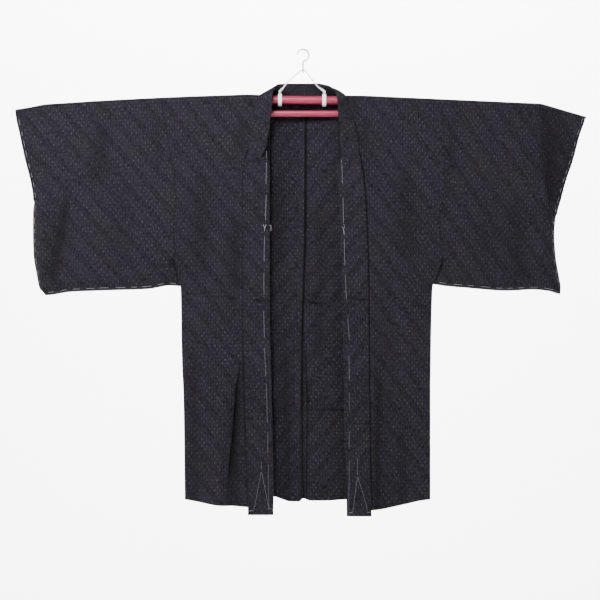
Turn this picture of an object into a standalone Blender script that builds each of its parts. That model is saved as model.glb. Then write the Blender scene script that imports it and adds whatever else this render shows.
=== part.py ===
"""A haori jacket hanging open on a kimono hanger.

Frame: +Z up, the fronts face -Y, +X is the garment's right-hand side as seen from
the front. The origin is the seat of the hanger's hook. The tables and functions
below work in millimetres, and a mesh's points are turned into metres when it is made.

Every cloth piece is a sheet: rows of points on the middle of the cloth, made thick by
a Solidify modifier. Front and back of a panel are one sheet folded over the bar.
"""

from math import cos, exp, pi, sin, sqrt

import bmesh
import bpy
from mathutils import Vector

MM = 0.001

# ---------------------------------------------------------------- driving dimensions

CLOTH = 1.5                # wall of a single cloth, with its seam allowances
BAND = 1.6                 # wall of one layer of the folded collar band
SEAM = 0.3                 # gap between neighbouring pieces

BAR_Z = -120.0             # centre of the shoulder bar in the middle
BAR_RADIUS = 10.0
BAR_SLACK = 0.25           # extra room over the bar, taken up where it bends
BAR_LEFT_END = -606.0
BAR_RIGHT_END = 545.0
SASH_BAR_Z = -152.5
SASH_BAR_RADIUS = 7.8
SASH_BAR_HALF = 165.0
SASH_BAR_BEND = 12.0
RING_PLACES = {"ring_left": -55.2, "ring_right": 50.9}
RING_OUTER = 15.0
RING_WIDTH = 11.0
CORD_RADIUS = 1.5
HOOK_WIRE = 2.0
HOOK_RADIUS = 14.0         # middle of the wire in the upper bow
HOOK_EYE_RADIUS = 7.0
HOOK_EYE_Z = -45.0

OVER_BAR = BAR_RADIUS + SEAM + CLOTH / 2      # bar's centre to the middle of the cloth
ARC_STEPS = 8              # facets of the cloth's half turn over the bar
FRONT_SWELL = 6.0          # how far the cloth stands off, below the bar
BACK_SWELL = 3.0
SWELL_HEIGHT = 260.0
NECK_BULGE = 9.0           # the back of the neck hangs clear of the bar and its rings
NECK_BULGE_HALF = 92.0
NECK_BULGE_DROP = 170.0
FOLD_FADE_IN = 0.3         # share of a fold's length over which it deepens
FOLD_FADE_OUT = 0.12       # share over which it fades at its lower end

SEWN_END = -500.0          # lowest point at which the sleeve is sewn to the body
WRIST_END = {"left": -362.0, "right": -396.0}
CLOSING = 28.0             # width over which two layers come together at a closed edge
SLIT_END = 6.0             # height over which an opening's lower end comes together
NEAREST = 2.2              # layers nearer than this to the middle meet there
SIDE_HALF_DEPTH = 8.0      # half the depth of the body at its side edges
SIDE_BLEND = 60.0          # distance over which its layers come to that depth
SLEEVE_GAP = 4.0           # extra room beside the body, where the sleeve hangs free
SLEEVE_GAP_BLEND = 40.0
HEM_Z = -1096.0            # level that the tables of row heights run to
LAPEL_BELOW_HEM = 14.0

LOOP_Z = -428.0
LOOP_WIRE = 1.3
LOOP_RADIUS = 5.5
LOOP_LENGTH = 15.0
LOOP_REACH = 1.5           # how far the loop's half turn starts inside the lapel's edge

TURNUP_ROWS = 6            # rows of the back panel that the turned-up hem lies on
TURNUP_COLUMNS = 8


# ---------------------------------------------------------------- tables and curves

def table(columns, *rows):
    """Rows of numbers as a list of dicts, one for each row, keyed by column name."""
    names = columns.split()
    return [dict(zip(names, row)) for row in rows]


def smooth(rows, by, key, at):
    """The table's value at a place: a smooth curve that doesn't overshoot its rows."""
    rows = sorted(rows, key=lambda row: row[by])
    xs = [row[by] for row in rows]
    ys = [row[key] for row in rows]
    at = min(max(at, xs[0]), xs[-1])
    slopes = [(b - a) / (d - c) for a, b, c, d in zip(ys, ys[1:], xs, xs[1:])]
    tangents = [slopes[0]]
    for one, two in zip(slopes, slopes[1:]):
        tangents.append(2 * one * two / (one + two) if one * two > 0 else 0.0)
    tangents.append(slopes[-1])
    i = max(k for k in range(len(xs) - 1) if xs[k] <= at)
    width = xs[i + 1] - xs[i]
    t = (at - xs[i]) / width
    return ((1 + 2 * t) * (1 - t) ** 2 * ys[i] + t * (1 - t) ** 2 * width * tangents[i]
            + t * t * (3 - 2 * t) * ys[i + 1] - t * t * (1 - t) * width * tangents[i + 1])


def straight(rows, by, key, at):
    """The table's value at a place, on a straight line between its rows."""
    at = min(max(at, rows[0][by]), rows[-1][by])
    for one, two in zip(rows, rows[1:]):
        if at <= two[by]:
            return lerp(one[key], two[key], (at - one[by]) / (two[by] - one[by]))
    return rows[-1][key]


def ease(t):
    """0 below 0, 1 above 1, and a smooth step between."""
    t = min(max(t, 0.0), 1.0)
    return t * t * (3 - 2 * t)


def lerp(a, b, t):
    return a + (b - a) * t


# The line that the cloth folds over: the centre and radius of its half turn.
RIDGE = table("x z radius",
              (-690, -149.8, 5.0),
              (-655, -146.2, 7.0),
              (-631, -144.0, 10.0),
              (-619, -142.6, OVER_BAR),
              (-506, -136.2, OVER_BAR),
              (-391, -130.2, OVER_BAR),
              (-276, -125.0, OVER_BAR),
              (-132, -119.6, OVER_BAR),
              (-98, -118.9, OVER_BAR),
              (98, -120.0, OVER_BAR),
              (571, -140.6, OVER_BAR),
              (592, -145.7, 9.5),
              (619, -152.0, 7.5),
              (677, -167.0, 5.0))

# Seam between collar and front, free edge of the flat lapel, side edge of the body
# (its armhole down to SEWN_END) and end of the sleeve, at each height.
FRONT_SEAM = table("z left right",
                   (-120, -90, 90),
                   (-170, -104, 106),
                   (-220, -123, 124),
                   (-260, -137, 136),
                   (-311, -142.5, 145.5),
                   (-405, -142.5, 152),
                   (-575, -142, 157),
                   (-780, -140.5, 158.5),
                   (-880, -138.5, 159.5),
                   (-963, -136, 160.5),
                   (-1110, -136.5, 162.5))
LAPEL_EDGE = table("z left right",
                   (-260, -78.8, 82.5),
                   (-405, -78.8, 88),
                   (-575, -78.8, 93.5),
                   (-780, -75, 96.6),
                   (-925, -71, 97),
                   (-1070, -69.7, 105),
                   (-1110, -72, 107))
SIDE = table("z left right",
             (-110, -339, 331),
             (-139, -335, 332),
             (-218, -321, 337),
             (-302, -309, 340),
             (-360, -303, 336),
             (-412, -306, 327),
             (-500, -306, 331),
             (-530, -301, 324),
             (-572, -293, 310),
             (-740, -290, 306),
             (-840, -286, 305),
             (-1072, -283, 305))
CUFF = table("z left right",
             (-144, -690, 679),
             (-161, -688, 677),
             (-206, -678, 662.5),
             (-260, -666, 648),
             (-323, -649.5, 626.5),
             (-357, -644.5, 617.5),
             (-391, -648, 608),
             (-441, -648, 603),
             (-491, -646.5, 606),
             (-542, -638.5, 614),
             (-570, -632.5, 618.5),
             (-586, -619, 617))

# Hems: the height of each lower edge across the garment.
FRONT_HEM = table("x z",
                  (-283, -1077), (-245, -1083), (-205, -1090), (-130, -1094),
                  (162, -1102), (235, -1089), (270, -1081), (305, -1077))
BACK_HEM = table("x z",
                 (-283, -1077), (-200, -1080), (-90, -1074), (-40, -1080), (-17, -1088),
                 (0, -1078), (22, -1084), (60, -1084), (115, -1080), (305, -1077))
SLEEVE_HEM = table("x z",
                   (-690, -585), (-617, -585), (-558, -577), (-490, -573), (-372, -570),
                   (-318, -561), (-296, -567),
                   (309, -560), (338, -562), (388, -567), (492, -576), (553, -573),
                   (590, -577), (617, -584), (690, -584))
CENTRE_SEAM = table("z x", (-1085, 0), (-720, 0), (-575, 2.4), (-120, 6))

# The back neck: how far the body's inner edge stands from the neck's middle, by the
# cloth's drop below the bar's centre line, once it is over the bar.
NECK_CENTRE = 1.0
BACK_NECK = table("drop half",
                  (-OVER_BAR, 89), (-7.8, 86.5), (-4.2, 83), (0, 75), (3, 58), (6, 34), (8, 0))
NECK_DROPS = (3.0, 6.0, 8.0)

# How deep the side gusset reaches in, from its top to the hem.
GUSSET = table("share deep",
               (0.0, 7), (0.06, 9), (0.2, 13), (0.4, 18), (0.6, 22), (0.8, 26), (1.0, 29))
GUSSET_TOP = -545.0
GUSSET_ACROSS = (-1.0, -0.62, -0.25, 0.0, 0.25, 0.62, 1.0)

# Soft folds hanging in one layer, as straight troughs (or ridges, with a depth below
# 0), from their first end to their second, fading at both.
FOLDS = table("layer x0 z0 x1 z1 width depth",
              ("front", -562, -350, -600, -560, 17, 6.5),     # left sleeve
              ("front", -640, -300, -615, -540, 12, -3.0),
              ("front", -420, -300, -450, -560, 30, 2.5),
              ("front", 607, -150, 588, -400, 26, 6.0),       # right sleeve, past the bar
              ("front", 560, -200, 575, -480, 16, -3.0),
              ("front", 430, -300, 440, -560, 34, 2.5),
              ("front", -175, -320, -178, -680, 20, 3.0),     # left front
              ("front", -156, -750, -166, -1150, 17, 8.0),    # the pleat by the left lapel
              ("front", -190, -760, -205, -1150, 12, -3.5),
              ("front", 200, -380, 190, -1150, 24, 3.0),      # right front
              ("front", 262, -600, 268, -1150, 22, -2.5),
              ("back", -200, -400, -190, -1150, 40, 4.0),
              ("back", -60, -560, -50, -1150, 24, 3.5),
              ("back", 70, -420, 62, -1150, 34, 3.0),
              ("back", 220, -400, 215, -1150, 40, 4.0),
              ("back", -480, -260, -500, -560, 40, 3.0),
              ("back", 480, -260, 500, -560, 40, 3.0))

# The rolled part of the collar, a row for each section, by the length of the neckline
# from the middle of the back. roll is the fold line and edge the free edge.
COLLAR_LEFT = table("run roll_x roll_y roll_z edge_x edge_y edge_z",
                    (0, 3, 24, -79, 3, 30, -112),
                    (38, -34, 23, -79, -34, 29, -112),
                    (68, -59, 18, -81, -72, 24, -110),
                    (88, -67, 8, -87, -91, 14, -107),
                    (104, -72, 0, -92, -99, 1, -105.6),
                    (116, -73, -14, -97, -104, -13, -110),
                    (122, -75, -26, -111, -108, -17, -122),
                    (137, -75.5, -31, -130, -114, -18, -142),
                    (173, -77, -26, -165, -124.5, -19, -173),
                    (216, -83, -20, -208, -128, -20, -214),
                    (236, -82, -20, -228, -129.5, -21, -233),
                    (252, -79.5, -19.5, -246, -130, -22, -250),
                    (263, -79, -19, -257, -133, -21.5, -258),
                    (273, -79, -18.5, -267, -136, -20.5, -268),
                    (285, -79, -18, -279, -139, -19.5, -280),
                    (298, -79, -17, -292, -141, -18.6, -292))
COLLAR_RIGHT = table("run roll_x roll_y roll_z edge_x edge_y edge_z",
                     (0, 3, 24, -79, 3, 30, -112),
                     (38, 37, 23, -79, 37, 29, -112),
                     (68, 54, 18, -82, 70, 24, -110),
                     (88, 66, 8, -87, 90, 15, -107),
                     (104, 73, 0, -92.5, 97.5, 1, -105.6),
                     (116, 79, -14, -99, 102, -13, -110),
                     (122, 82, -27, -113, 105, -17, -122),
                     (137, 84.5, -33, -130, 111, -18, -142),
                     (173, 87, -29, -165, 121, -19, -173),
                     (216, 89, -20, -208, 130, -20, -214),
                     (236, 87, -20, -228, 133, -21, -233),
                     (252, 84, -19.5, -246, 133, -22, -250),
                     (263, 83.3, -19, -257, 136, -21.5, -258),
                     (273, 83, -18.5, -267, 138.5, -20.5, -268),
                     (285, 83, -18, -279, 141, -19.5, -280),
                     (298, 83, -17, -292, 143.5, -18.6, -292))
ROLL_FOLD = 2.8            # radius of the fold along the roll line, open round the neck
PRESSED_FOLD = 1.3         # and pressed along the lapels
PRESSED_FROM = 236.0       # lengths of neckline between which the one turns into the other
PRESSED_TO = 298.0
FREE_EDGE_IN = 1.0         # how far the free edge stops short of the seam
ROLL_TIP = 5.0             # length of each side that bends with it
BAR_LIFT = 0.7             # the thicker band's extra height over the bar

# Heights at which the front, and the collar with it, has a row of points.
FRONT_HEIGHTS = (-135, -152, -172, -192, -211, -229, -244, -255, -264, -274, -287, -302,
                 -335, -360, -390, -440, -500, -530, -572, -640, -710, -780, -862, -915, -975,
                 -1030, -1070)
BACK_HEIGHTS = (-152, -192, -229, -287, -335, -360, -390, -440, -500, -530, -572, -640, -710,
                -780, -862, -915, -975, -1030, -1070)
BODY_ACROSS = (0.0, 0.1, 0.22, 0.36, 0.5, 0.64, 0.78, 0.9, 1.0)
SLEEVE_ACROSS = (0.0, 0.01, 0.035, 0.08, 0.16, 0.25, 0.34, 0.43, 0.52, 0.61, 0.7, 0.77,
                 0.84, 0.89, 0.93, 0.965, 0.99, 1.0)
BELOW_SEAM = (0.1, 0.27, 0.46, 0.64, 0.82, 0.94, 1.0)
ARC_TURNS = [pi * (1 - k / ARC_STEPS) for k in range(ARC_STEPS + 1)]


# ---------------------------------------------------------------- where the cloth hangs

def fold_depth(layer, x, z):
    """How far a layer is pushed inward at a place by the folds hanging in it."""
    total = 0.0
    for fold in FOLDS:
        if fold["layer"] != layer:
            continue
        along = Vector((fold["x1"] - fold["x0"], fold["z1"] - fold["z0"]))
        offset = Vector((x - fold["x0"], z - fold["z0"]))
        t = offset.dot(along) / along.length_squared
        off_line = offset - along * t
        fade = ease(t / FOLD_FADE_IN) * ease((1 - t) / FOLD_FADE_OUT)
        total += fold["depth"] * fade * exp(-(off_line.length / fold["width"]) ** 2)
    return total


def depth(layer, x, z):
    """Distance of a layer from the plane of the bar, as a positive number."""
    radius = straight(RIDGE, "x", "radius", x)
    drop = straight(RIDGE, "x", "z", x) - z
    swell = FRONT_SWELL if layer == "front" else BACK_SWELL
    out = radius + swell * ease(drop / SWELL_HEIGHT) - fold_depth(layer, x, z)
    if layer == "back":
        across = min(abs(x - NECK_CENTRE) / NECK_BULGE_HALF, 1.0)
        out += NECK_BULGE * (1 - across ** 2) * exp(-(max(drop, 0) / NECK_BULGE_DROP) ** 2)
    return out


def body_point(side, layer, x, z):
    """A point of the body: its layers come closer at the side edge, below the sleeve."""
    out = depth(layer, x, z)
    near = 1 - ease(abs(x - smooth(SIDE, "z", side, z)) / SIDE_BLEND)
    low = ease((SEWN_END - z) / SIDE_BLEND)
    out += (SIDE_HALF_DEPTH - out) * near * low
    return Vector((x, -out if layer == "front" else out, z))


def sleeve_edge(side, z):
    """Inner edge of the sleeve: along the armhole, then hanging free beside the body."""
    outward = -1 if side == "left" else 1
    free = SLEEVE_GAP * ease((SEWN_END - z) / SLEEVE_GAP_BLEND)
    return smooth(SIDE, "z", side, z) + outward * (SEAM + free)


def closing(distance):
    """Share of the full depth at a distance from an edge where two layers meet."""
    return sqrt(1 - (1 - min(max(distance / CLOSING, 0.0), 1.0)) ** 2)


def sleeve_point(side, layer, x, z, hem_z):
    """A point of the sleeve, whose layers meet round its lower edges."""
    shut_wrist = ease((WRIST_END[side] - z) / SLIT_END + 0.5)
    shut_inner = ease((SEWN_END - z) / SLIT_END)
    share = min(closing(z - hem_z),
                1 - shut_wrist * (1 - closing(abs(smooth(CUFF, "z", side, z) - x))),
                1 - shut_inner * (1 - closing(abs(x - sleeve_edge(side, z)))))
    out = depth(layer, x, z) * share
    if out < NEAREST:
        out = 0.0
    return Vector((x, -out if layer == "front" else out, z))


def ridge_point(x, turn):
    """A point of the half turn over the bar, from pi in front to 0 behind."""
    radius = straight(RIDGE, "x", "radius", x)
    return Vector((x, radius * cos(turn), straight(RIDGE, "x", "z", x) + radius * sin(turn)))


# ---------------------------------------------------------------- rows of each cloth piece

def body_row(side, layer, height):
    """A row of one layer of the body, by the height that it would have in the middle."""
    share = (BAR_Z - height) / (BAR_Z - HEM_Z)
    hem = FRONT_HEM if layer == "front" else BACK_HEM
    hem_inner = smooth(hem, "x", "z", FRONT_SEAM[-1][side] if layer == "front" else 0)
    hem_outer = smooth(hem, "x", "z", SIDE[-1][side])
    inner_z = lerp(BAR_Z, hem_inner, share)
    outer_z = lerp(straight(RIDGE, "x", "z", SIDE[0][side]), hem_outer, share)
    if layer == "front":
        inner_x = smooth(FRONT_SEAM, "z", side, inner_z)
    else:
        inner_x = centre_edge(side, inner_z)
    outer_x = smooth(SIDE, "z", side, outer_z)
    row = []
    for across in BODY_ACROSS:
        x = lerp(inner_x, outer_x, across)
        uneven = smooth(hem, "x", "z", x) - lerp(hem_inner, hem_outer, across)
        z = lerp(inner_z, outer_z, across) + uneven * share ** 6
        row.append(body_point(side, layer, x, z))
    return row


def body_rows(side):
    """Rows of one body length, from the front hem over the bar to the back hem."""
    outward = -1 if side == "left" else 1
    rows = [body_row(side, "front", height) for height in reversed(FRONT_HEIGHTS + (HEM_Z,))]
    for turn in ARC_TURNS:
        if turn < pi / 2:
            half = smooth(BACK_NECK, "drop", "half", -OVER_BAR * sin(turn))
        else:
            half = lerp(BACK_NECK[0]["half"], abs(FRONT_SEAM[0][side]), 2 * turn / pi - 1)
        inner_x = NECK_CENTRE + outward * half if turn < pi else FRONT_SEAM[0][side]
        row = []
        for across in BODY_ACROSS:
            x = lerp(inner_x, bar_edge(side, OVER_BAR * sin(turn)), across)
            point = ridge_point(x, turn)
            if turn < pi / 2:
                point.y += (depth("back", x, point.z) - OVER_BAR) * cos(turn) ** 2
            row.append(point)
        rows.append(row)
    for drop in NECK_DROPS:
        inner_x = NECK_CENTRE + outward * smooth(BACK_NECK, "drop", "half", drop)
        if drop == NECK_DROPS[-1]:
            inner_x = centre_edge(side, BAR_Z - drop)
        row = []
        for across in BODY_ACROSS:
            x = lerp(inner_x, bar_edge(side, -drop), across)
            row.append(body_point(side, "back", x, straight(RIDGE, "x", "z", x) - drop))
        rows.append(row)
    rows += [body_row(side, "back", height) for height in BACK_HEIGHTS + (HEM_Z,)]
    return rows


def bar_edge(side, height):
    """Top of the armhole edge, by its height over the bar's centre line."""
    return smooth(SIDE, "z", side, straight(RIDGE, "x", "z", SIDE[0][side]) + height)


def centre_edge(side, z):
    """Edge of a back panel at the centre seam."""
    outward = -1 if side == "left" else 1
    return smooth(CENTRE_SEAM, "z", "x", z) + outward * SEAM / 2


def sleeve_rows(side):
    """Rows of one sleeve, from its front lower edge over the bar to its back lower edge.

    A row starts on each point of the body's armhole edge, so that the two edges match.
    """
    outward = Vector((-SEAM if side == "left" else SEAM, 0, 0))
    fronts = len(FRONT_HEIGHTS) + 1
    body_edge = [row[-1] for row in body_rows(side)]
    front_seam = [point for point in body_edge[:fronts] if point.z >= SEWN_END - 2][::-1]
    back_seam = [point for point in body_edge[fronts + len(ARC_TURNS):] if point.z >= SEWN_END - 2]
    bar_seam = body_edge[fronts:fronts + len(ARC_TURNS)]
    inner = sleeve_edge(side, SIDE[0]["z"])
    top = straight(RIDGE, "x", "z", inner)
    bottom = smooth(SLEEVE_HEM, "x", "z", sleeve_edge(side, SLEEVE_HEM[0]["z"]))
    cuff_top = straight(RIDGE, "x", "z", CUFF[0][side])
    cuff_bottom = smooth(SLEEVE_HEM, "x", "z", CUFF[-1][side])

    def row_at(layer, share):
        row = []
        for across in SLEEVE_ACROSS:
            x = lerp(inner, CUFF[0][side], across)
            for _ in range(4):
                hem = smooth(SLEEVE_HEM, "x", "z", x)
                z = lerp(straight(RIDGE, "x", "z", x), hem, share)
                x = lerp(sleeve_edge(side, z), smooth(CUFF, "z", side, z), across)
            row.append(sleeve_point(side, layer, x, z, hem))
        return row

    def layer_rows(layer, seam):
        rows = []
        shares = [(top - point.z) / (top - bottom) for point in seam]
        for share, point in zip(shares, seam):
            row = row_at(layer, share)
            row[0] = point + outward
            rows.append((share, row))
        for step in (0.6, -0.6):
            share = (cuff_top - WRIST_END[side] + step * SLIT_END) / (cuff_top - cuff_bottom)
            i = max(k for k in range(len(shares)) if shares[k] < share)
            t = (share - shares[i]) / (shares[i + 1] - shares[i])
            row = row_at(layer, share)
            row[0] = seam[i].lerp(seam[i + 1], t) + outward
            rows.append((share, row))
        for below in BELOW_SEAM:
            share = lerp(shares[-1], 1.0, below)
            rows.append((share, row_at(layer, share)))
        return [row for _, row in sorted(rows, key=lambda pair: pair[0])]

    over_bar = []
    for turn, point in zip(ARC_TURNS, bar_seam):
        row = [ridge_point(lerp(point.x, CUFF[0][side], across), turn) for across in SLEEVE_ACROSS]
        row[0] = point + outward
        over_bar.append(row)
    return layer_rows("front", front_seam)[::-1] + over_bar + layer_rows("back", back_seam)


def gusset_rows(side):
    """Rows of the wedge between front and back, folded inward along its middle."""
    inward = 1 if side == "left" else -1
    hem = smooth(FRONT_HEM, "x", "z", SIDE[-1][side]) + 2
    inset = CLOTH + SEAM
    rows = []
    for line in GUSSET:
        z = lerp(GUSSET_TOP, hem, line["share"])
        edge = smooth(SIDE, "z", side, z)
        row = []
        for across in GUSSET_ACROSS:
            x = edge + inward * line["deep"] * (1 - abs(across))
            layer = "front" if across < 0 else "back"
            outer = body_point(side, layer, edge, z).y
            half = (abs(outer) - inset) * abs(across) ** 0.8
            row.append(Vector((x, half if across > 0 else -half, z)))
        rows.append(row)
    return rows


def turnup_rows(side):
    """Rows of the turned-up hem, which lies on the inner face of a back panel."""
    inward = Vector((0, -CLOTH - SEAM, 0))
    low = body_rows(side)[-TURNUP_ROWS:]
    rows = [[point + inward for point in row[:TURNUP_COLUMNS]] for row in low]
    for point in rows[-1]:
        point.z += 1.0
    return rows


# ---------------------------------------------------------------- the collar

def neckline(side):
    """Middle of the body's inner edge, from the middle of the back to the front hem."""
    edge = [row[0] for row in body_rows(side)]
    behind_hem = len(FRONT_HEIGHTS) + 1 + len(ARC_TURNS) + len(NECK_DROPS)
    return edge[:behind_hem][::-1]


def collar_seat(side, points, i, roll):
    """The collar's sewn edge: clear of the body's edge by a seam, whichever way it stands."""
    point = points[i]
    run = (points[min(i + 1, len(points) - 1)] - points[max(i - 1, 0)]).normalized()
    if i == 0:
        run = Vector((-1 if side == "left" else 1, 0, 0))
    out = Vector((0, point.y, max(point.z - BAR_Z, 0))).normalized()
    across = run.cross(out).normalized() * (-1 if side == "left" else 1)
    band = (roll - point).normalized()
    standing = sqrt(max(1 - band.dot(across) ** 2, 0))
    over_bar = ease((point.z - BAR_Z + 5) / 5)
    return point + across * (SEAM + BAND / 2 * standing) + out * BAR_LIFT * over_bar


def section(seat, roll, edge, radius):
    """Seven points across the band: a standing band, or one turned back on itself."""
    to_seat = (seat - roll).normalized()
    to_edge = (edge - roll).normalized()
    folded = (1 + to_seat.dot(to_edge)) / 2
    apart = (edge - seat) - (to_seat + to_edge) * (edge - seat).dot(to_seat + to_edge) / 4
    apart = apart.normalized() * radius * folded ** 2
    tip_seat = lerp(0.28, min(ROLL_TIP / (seat - roll).length, 0.3), folded)
    tip_edge = lerp(0.28, min(ROLL_TIP / (edge - roll).length, 0.3), folded)
    return [seat,
            seat.lerp(roll, 0.5) - apart * 0.5,
            roll.lerp(seat, tip_seat) - apart,
            roll,
            roll.lerp(edge, tip_edge) + apart,
            roll.lerp(edge, 0.5) + apart * 0.5,
            edge]


def collar_sections(side, lines):
    """Sections of one half of the collar, from the middle of the back to its lower end.

    The band is folded outward along its whole length, and its free edge lies on the seam.
    """
    inward = 1 if side == "left" else -1
    sections = []
    run = 0.0
    points = neckline(side)
    for i, point in enumerate(points):
        run += (point - points[max(i - 1, 0)]).length
        if run <= lines[-1]["run"]:
            roll, edge = (Vector([smooth(lines, "run", part + axis, run)
                                  for axis in ("_x", "_y", "_z")]) for part in ("roll", "edge"))
        else:
            fold_x = smooth(LAPEL_EDGE, "z", side, point.z)
            free_x = point.x + inward * FREE_EDGE_IN
            fold_y = -depth("front", fold_x, point.z) - PRESSED_FOLD
            free_y = -depth("front", free_x, point.z) - 2 * PRESSED_FOLD
            roll = Vector((fold_x, fold_y, point.z))
            edge = Vector((free_x, free_y, point.z))
        pressed = ease((run - PRESSED_FROM) / (PRESSED_TO - PRESSED_FROM))
        seat = collar_seat(side, points, i, roll)
        sections.append(section(seat, roll, edge, lerp(ROLL_FOLD, PRESSED_FOLD, pressed)))
    below = Vector((0, 0, -LAPEL_BELOW_HEM))
    sections.append([point + below for point in sections[-1]])
    return sections


def collar_rows():
    left = collar_sections("left", COLLAR_LEFT)
    right = collar_sections("right", COLLAR_RIGHT)
    middle = [a.lerp(b, 0.5) for a, b in zip(left[0], right[0])]
    return left[:0:-1] + [middle] + right[1:]


# ---------------------------------------------------------------- making objects

def finish(name, colour, roughness, metallic=0.0):
    """A material for one node."""
    material = bpy.data.materials.new(name)
    material.use_nodes = True
    shader = material.node_tree.nodes["Principled BSDF"]
    shader.inputs["Base Color"].default_value = (*colour, 1.0)
    shader.inputs["Roughness"].default_value = roughness
    shader.inputs["Metallic"].default_value = metallic
    return material


NIGHT = (0.024, 0.020, 0.034)
CRIMSON = (0.42, 0.02, 0.06)
WHITE = (0.8, 0.8, 0.79)
STEEL = (0.6, 0.6, 0.6)


def place(obj, material):
    obj.data.materials.clear()
    obj.data.materials.append(material)
    collection.objects.link(obj)
    return obj


def sheet(name, rows, thickness, colour=NIGHT):
    """A cloth piece: rows of points in millimetres, on the middle of the cloth."""
    across = len(rows[0]) - 1
    along = len(rows) - 1
    bm = bmesh.new()
    bmesh.ops.create_grid(bm, x_segments=across, y_segments=along, size=0.5)
    grid = {}
    for vert in bm.verts:
        column = round((vert.co.x + 0.5) * across)
        row = round((vert.co.y + 0.5) * along)
        grid[row, column] = vert
        vert.co = rows[row][column] * MM
    for row, column in ((0, 0), (0, across), (along, 0), (along, across)):
        corner = grid[row, column]
        inner = grid[abs(row - 1), abs(column - 1)]
        bmesh.utils.face_split(corner.link_faces[0], corner, inner)
    bmesh.ops.remove_doubles(bm, verts=bm.verts, dist=0.00005)
    mesh = bpy.data.meshes.new(name)
    bm.to_mesh(mesh)
    bm.free()
    mesh.shade_smooth()
    obj = place(bpy.data.objects.new(name, mesh), finish(name, colour, 0.85))
    wall = obj.modifiers.new("wall", "SOLIDIFY")
    wall.thickness = thickness * MM
    wall.offset = 0.0
    return obj


def tube(name, points, radius, colour, roughness, metallic=0.0, resolution=3):
    """A round bar, wire or cord along a list of points in millimetres."""
    curve = bpy.data.curves.new(name, "CURVE")
    curve.dimensions = "3D"
    curve.bevel_depth = radius * MM
    curve.bevel_resolution = resolution
    curve.use_fill_caps = True
    spline = curve.splines.new("POLY")
    spline.points.add(len(points) - 1)
    for knot, point in zip(spline.points, points):
        knot.co = (*(Vector(point) * MM), 1.0)
    return place(bpy.data.objects.new(name, curve), finish(name, colour, roughness, metallic))


def arc(centre, radius, start, end, steps, plane):
    """Points on an arc in the XZ or YZ plane; 0 is along X or Y and pi / 2 is up."""
    points = []
    for k in range(steps + 1):
        turn = lerp(start, end, k / steps)
        flat = radius * cos(turn)
        point = Vector((flat, 0, 0)) if plane == "XZ" else Vector((0, flat, 0))
        points.append(Vector(centre) + point + Vector((0, 0, radius * sin(turn))))
    return points


def hanger():
    """The bars, the rings and cord that carry them, and the hook."""
    def bar_point(x):
        return Vector((x, 0, straight(RIDGE, "x", "z", x) - BAR_SLACK))

    bends = [line["x"] for line in RIDGE if BAR_LEFT_END < line["x"] < BAR_RIGHT_END]
    tube("hanger_bar", [bar_point(x) for x in (BAR_LEFT_END, *bends, BAR_RIGHT_END)],
         BAR_RADIUS, CRIMSON, 0.25, resolution=10)

    post_top = bar_point(SASH_BAR_HALF + SASH_BAR_RADIUS).z - BAR_RADIUS - SEAM
    bend_z = SASH_BAR_Z + SASH_BAR_BEND
    bend_x = SASH_BAR_HALF - SASH_BAR_BEND
    route = [Vector((-SASH_BAR_HALF, 0, post_top))]
    route += arc((-bend_x, 0, bend_z), SASH_BAR_BEND, pi, 1.5 * pi, 5, "XZ")
    route += arc((bend_x, 0, bend_z), SASH_BAR_BEND, -0.5 * pi, 0, 5, "XZ")
    route.append(Vector((SASH_BAR_HALF, 0, post_top)))
    tube("sash_bar", route, SASH_BAR_RADIUS, CRIMSON, 0.25, resolution=4)

    thick = (RING_OUTER - BAR_RADIUS - SEAM) / 2
    for name, x in RING_PLACES.items():
        bpy.ops.mesh.primitive_torus_add(major_segments=32, minor_segments=10,
                                         major_radius=(RING_OUTER - thick) * MM,
                                         minor_radius=thick * MM)
        ring = bpy.context.object
        ring.name = name
        ring.data.name = name
        stretch = RING_WIDTH / (2 * thick)
        for vert in ring.data.vertices:
            vert.co = Vector((vert.co.z * stretch, vert.co.x, vert.co.y)) + bar_point(x) * MM
        for owner in list(ring.users_collection):
            owner.objects.unlink(ring)
        ring.data.shade_smooth()
        place(ring, finish(name, WHITE, 0.5))

    on_ring = Vector((0, 0, RING_OUTER + SEAM + CORD_RADIUS))
    eye_seat = HOOK_EYE_Z - HOOK_EYE_RADIUS + HOOK_WIRE + SEAM + CORD_RADIUS
    left, right = (bar_point(x) + on_ring for x in RING_PLACES.values())
    cord = [left, (left.x * 0.72, 0, -82.5), (-14, 0, -55.5), (-5, 0, eye_seat - 0.6),
            (0, 0, eye_seat), (5, 0, eye_seat - 0.6), (14, 0, -56), (right.x * 0.6, 0, -80), right]
    tube("hanging_cord", cord, CORD_RADIUS, WHITE, 0.9, resolution=2)

    bow_z = HOOK_WIRE - HOOK_RADIUS
    route = arc((0, 0, HOOK_EYE_Z), HOOK_EYE_RADIUS, 2.35, 2.35 + 1.72 * pi, 14, "YZ")
    route.append(Vector((0, 0, HOOK_EYE_Z + HOOK_EYE_RADIUS + 6)))
    route += arc((0, 0, bow_z), HOOK_RADIUS, -0.5 * pi, 0.95 * pi, 14, "XZ")
    tube("hook", route, HOOK_WIRE, STEEL, 0.3, metallic=1.0, resolution=2)


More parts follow.
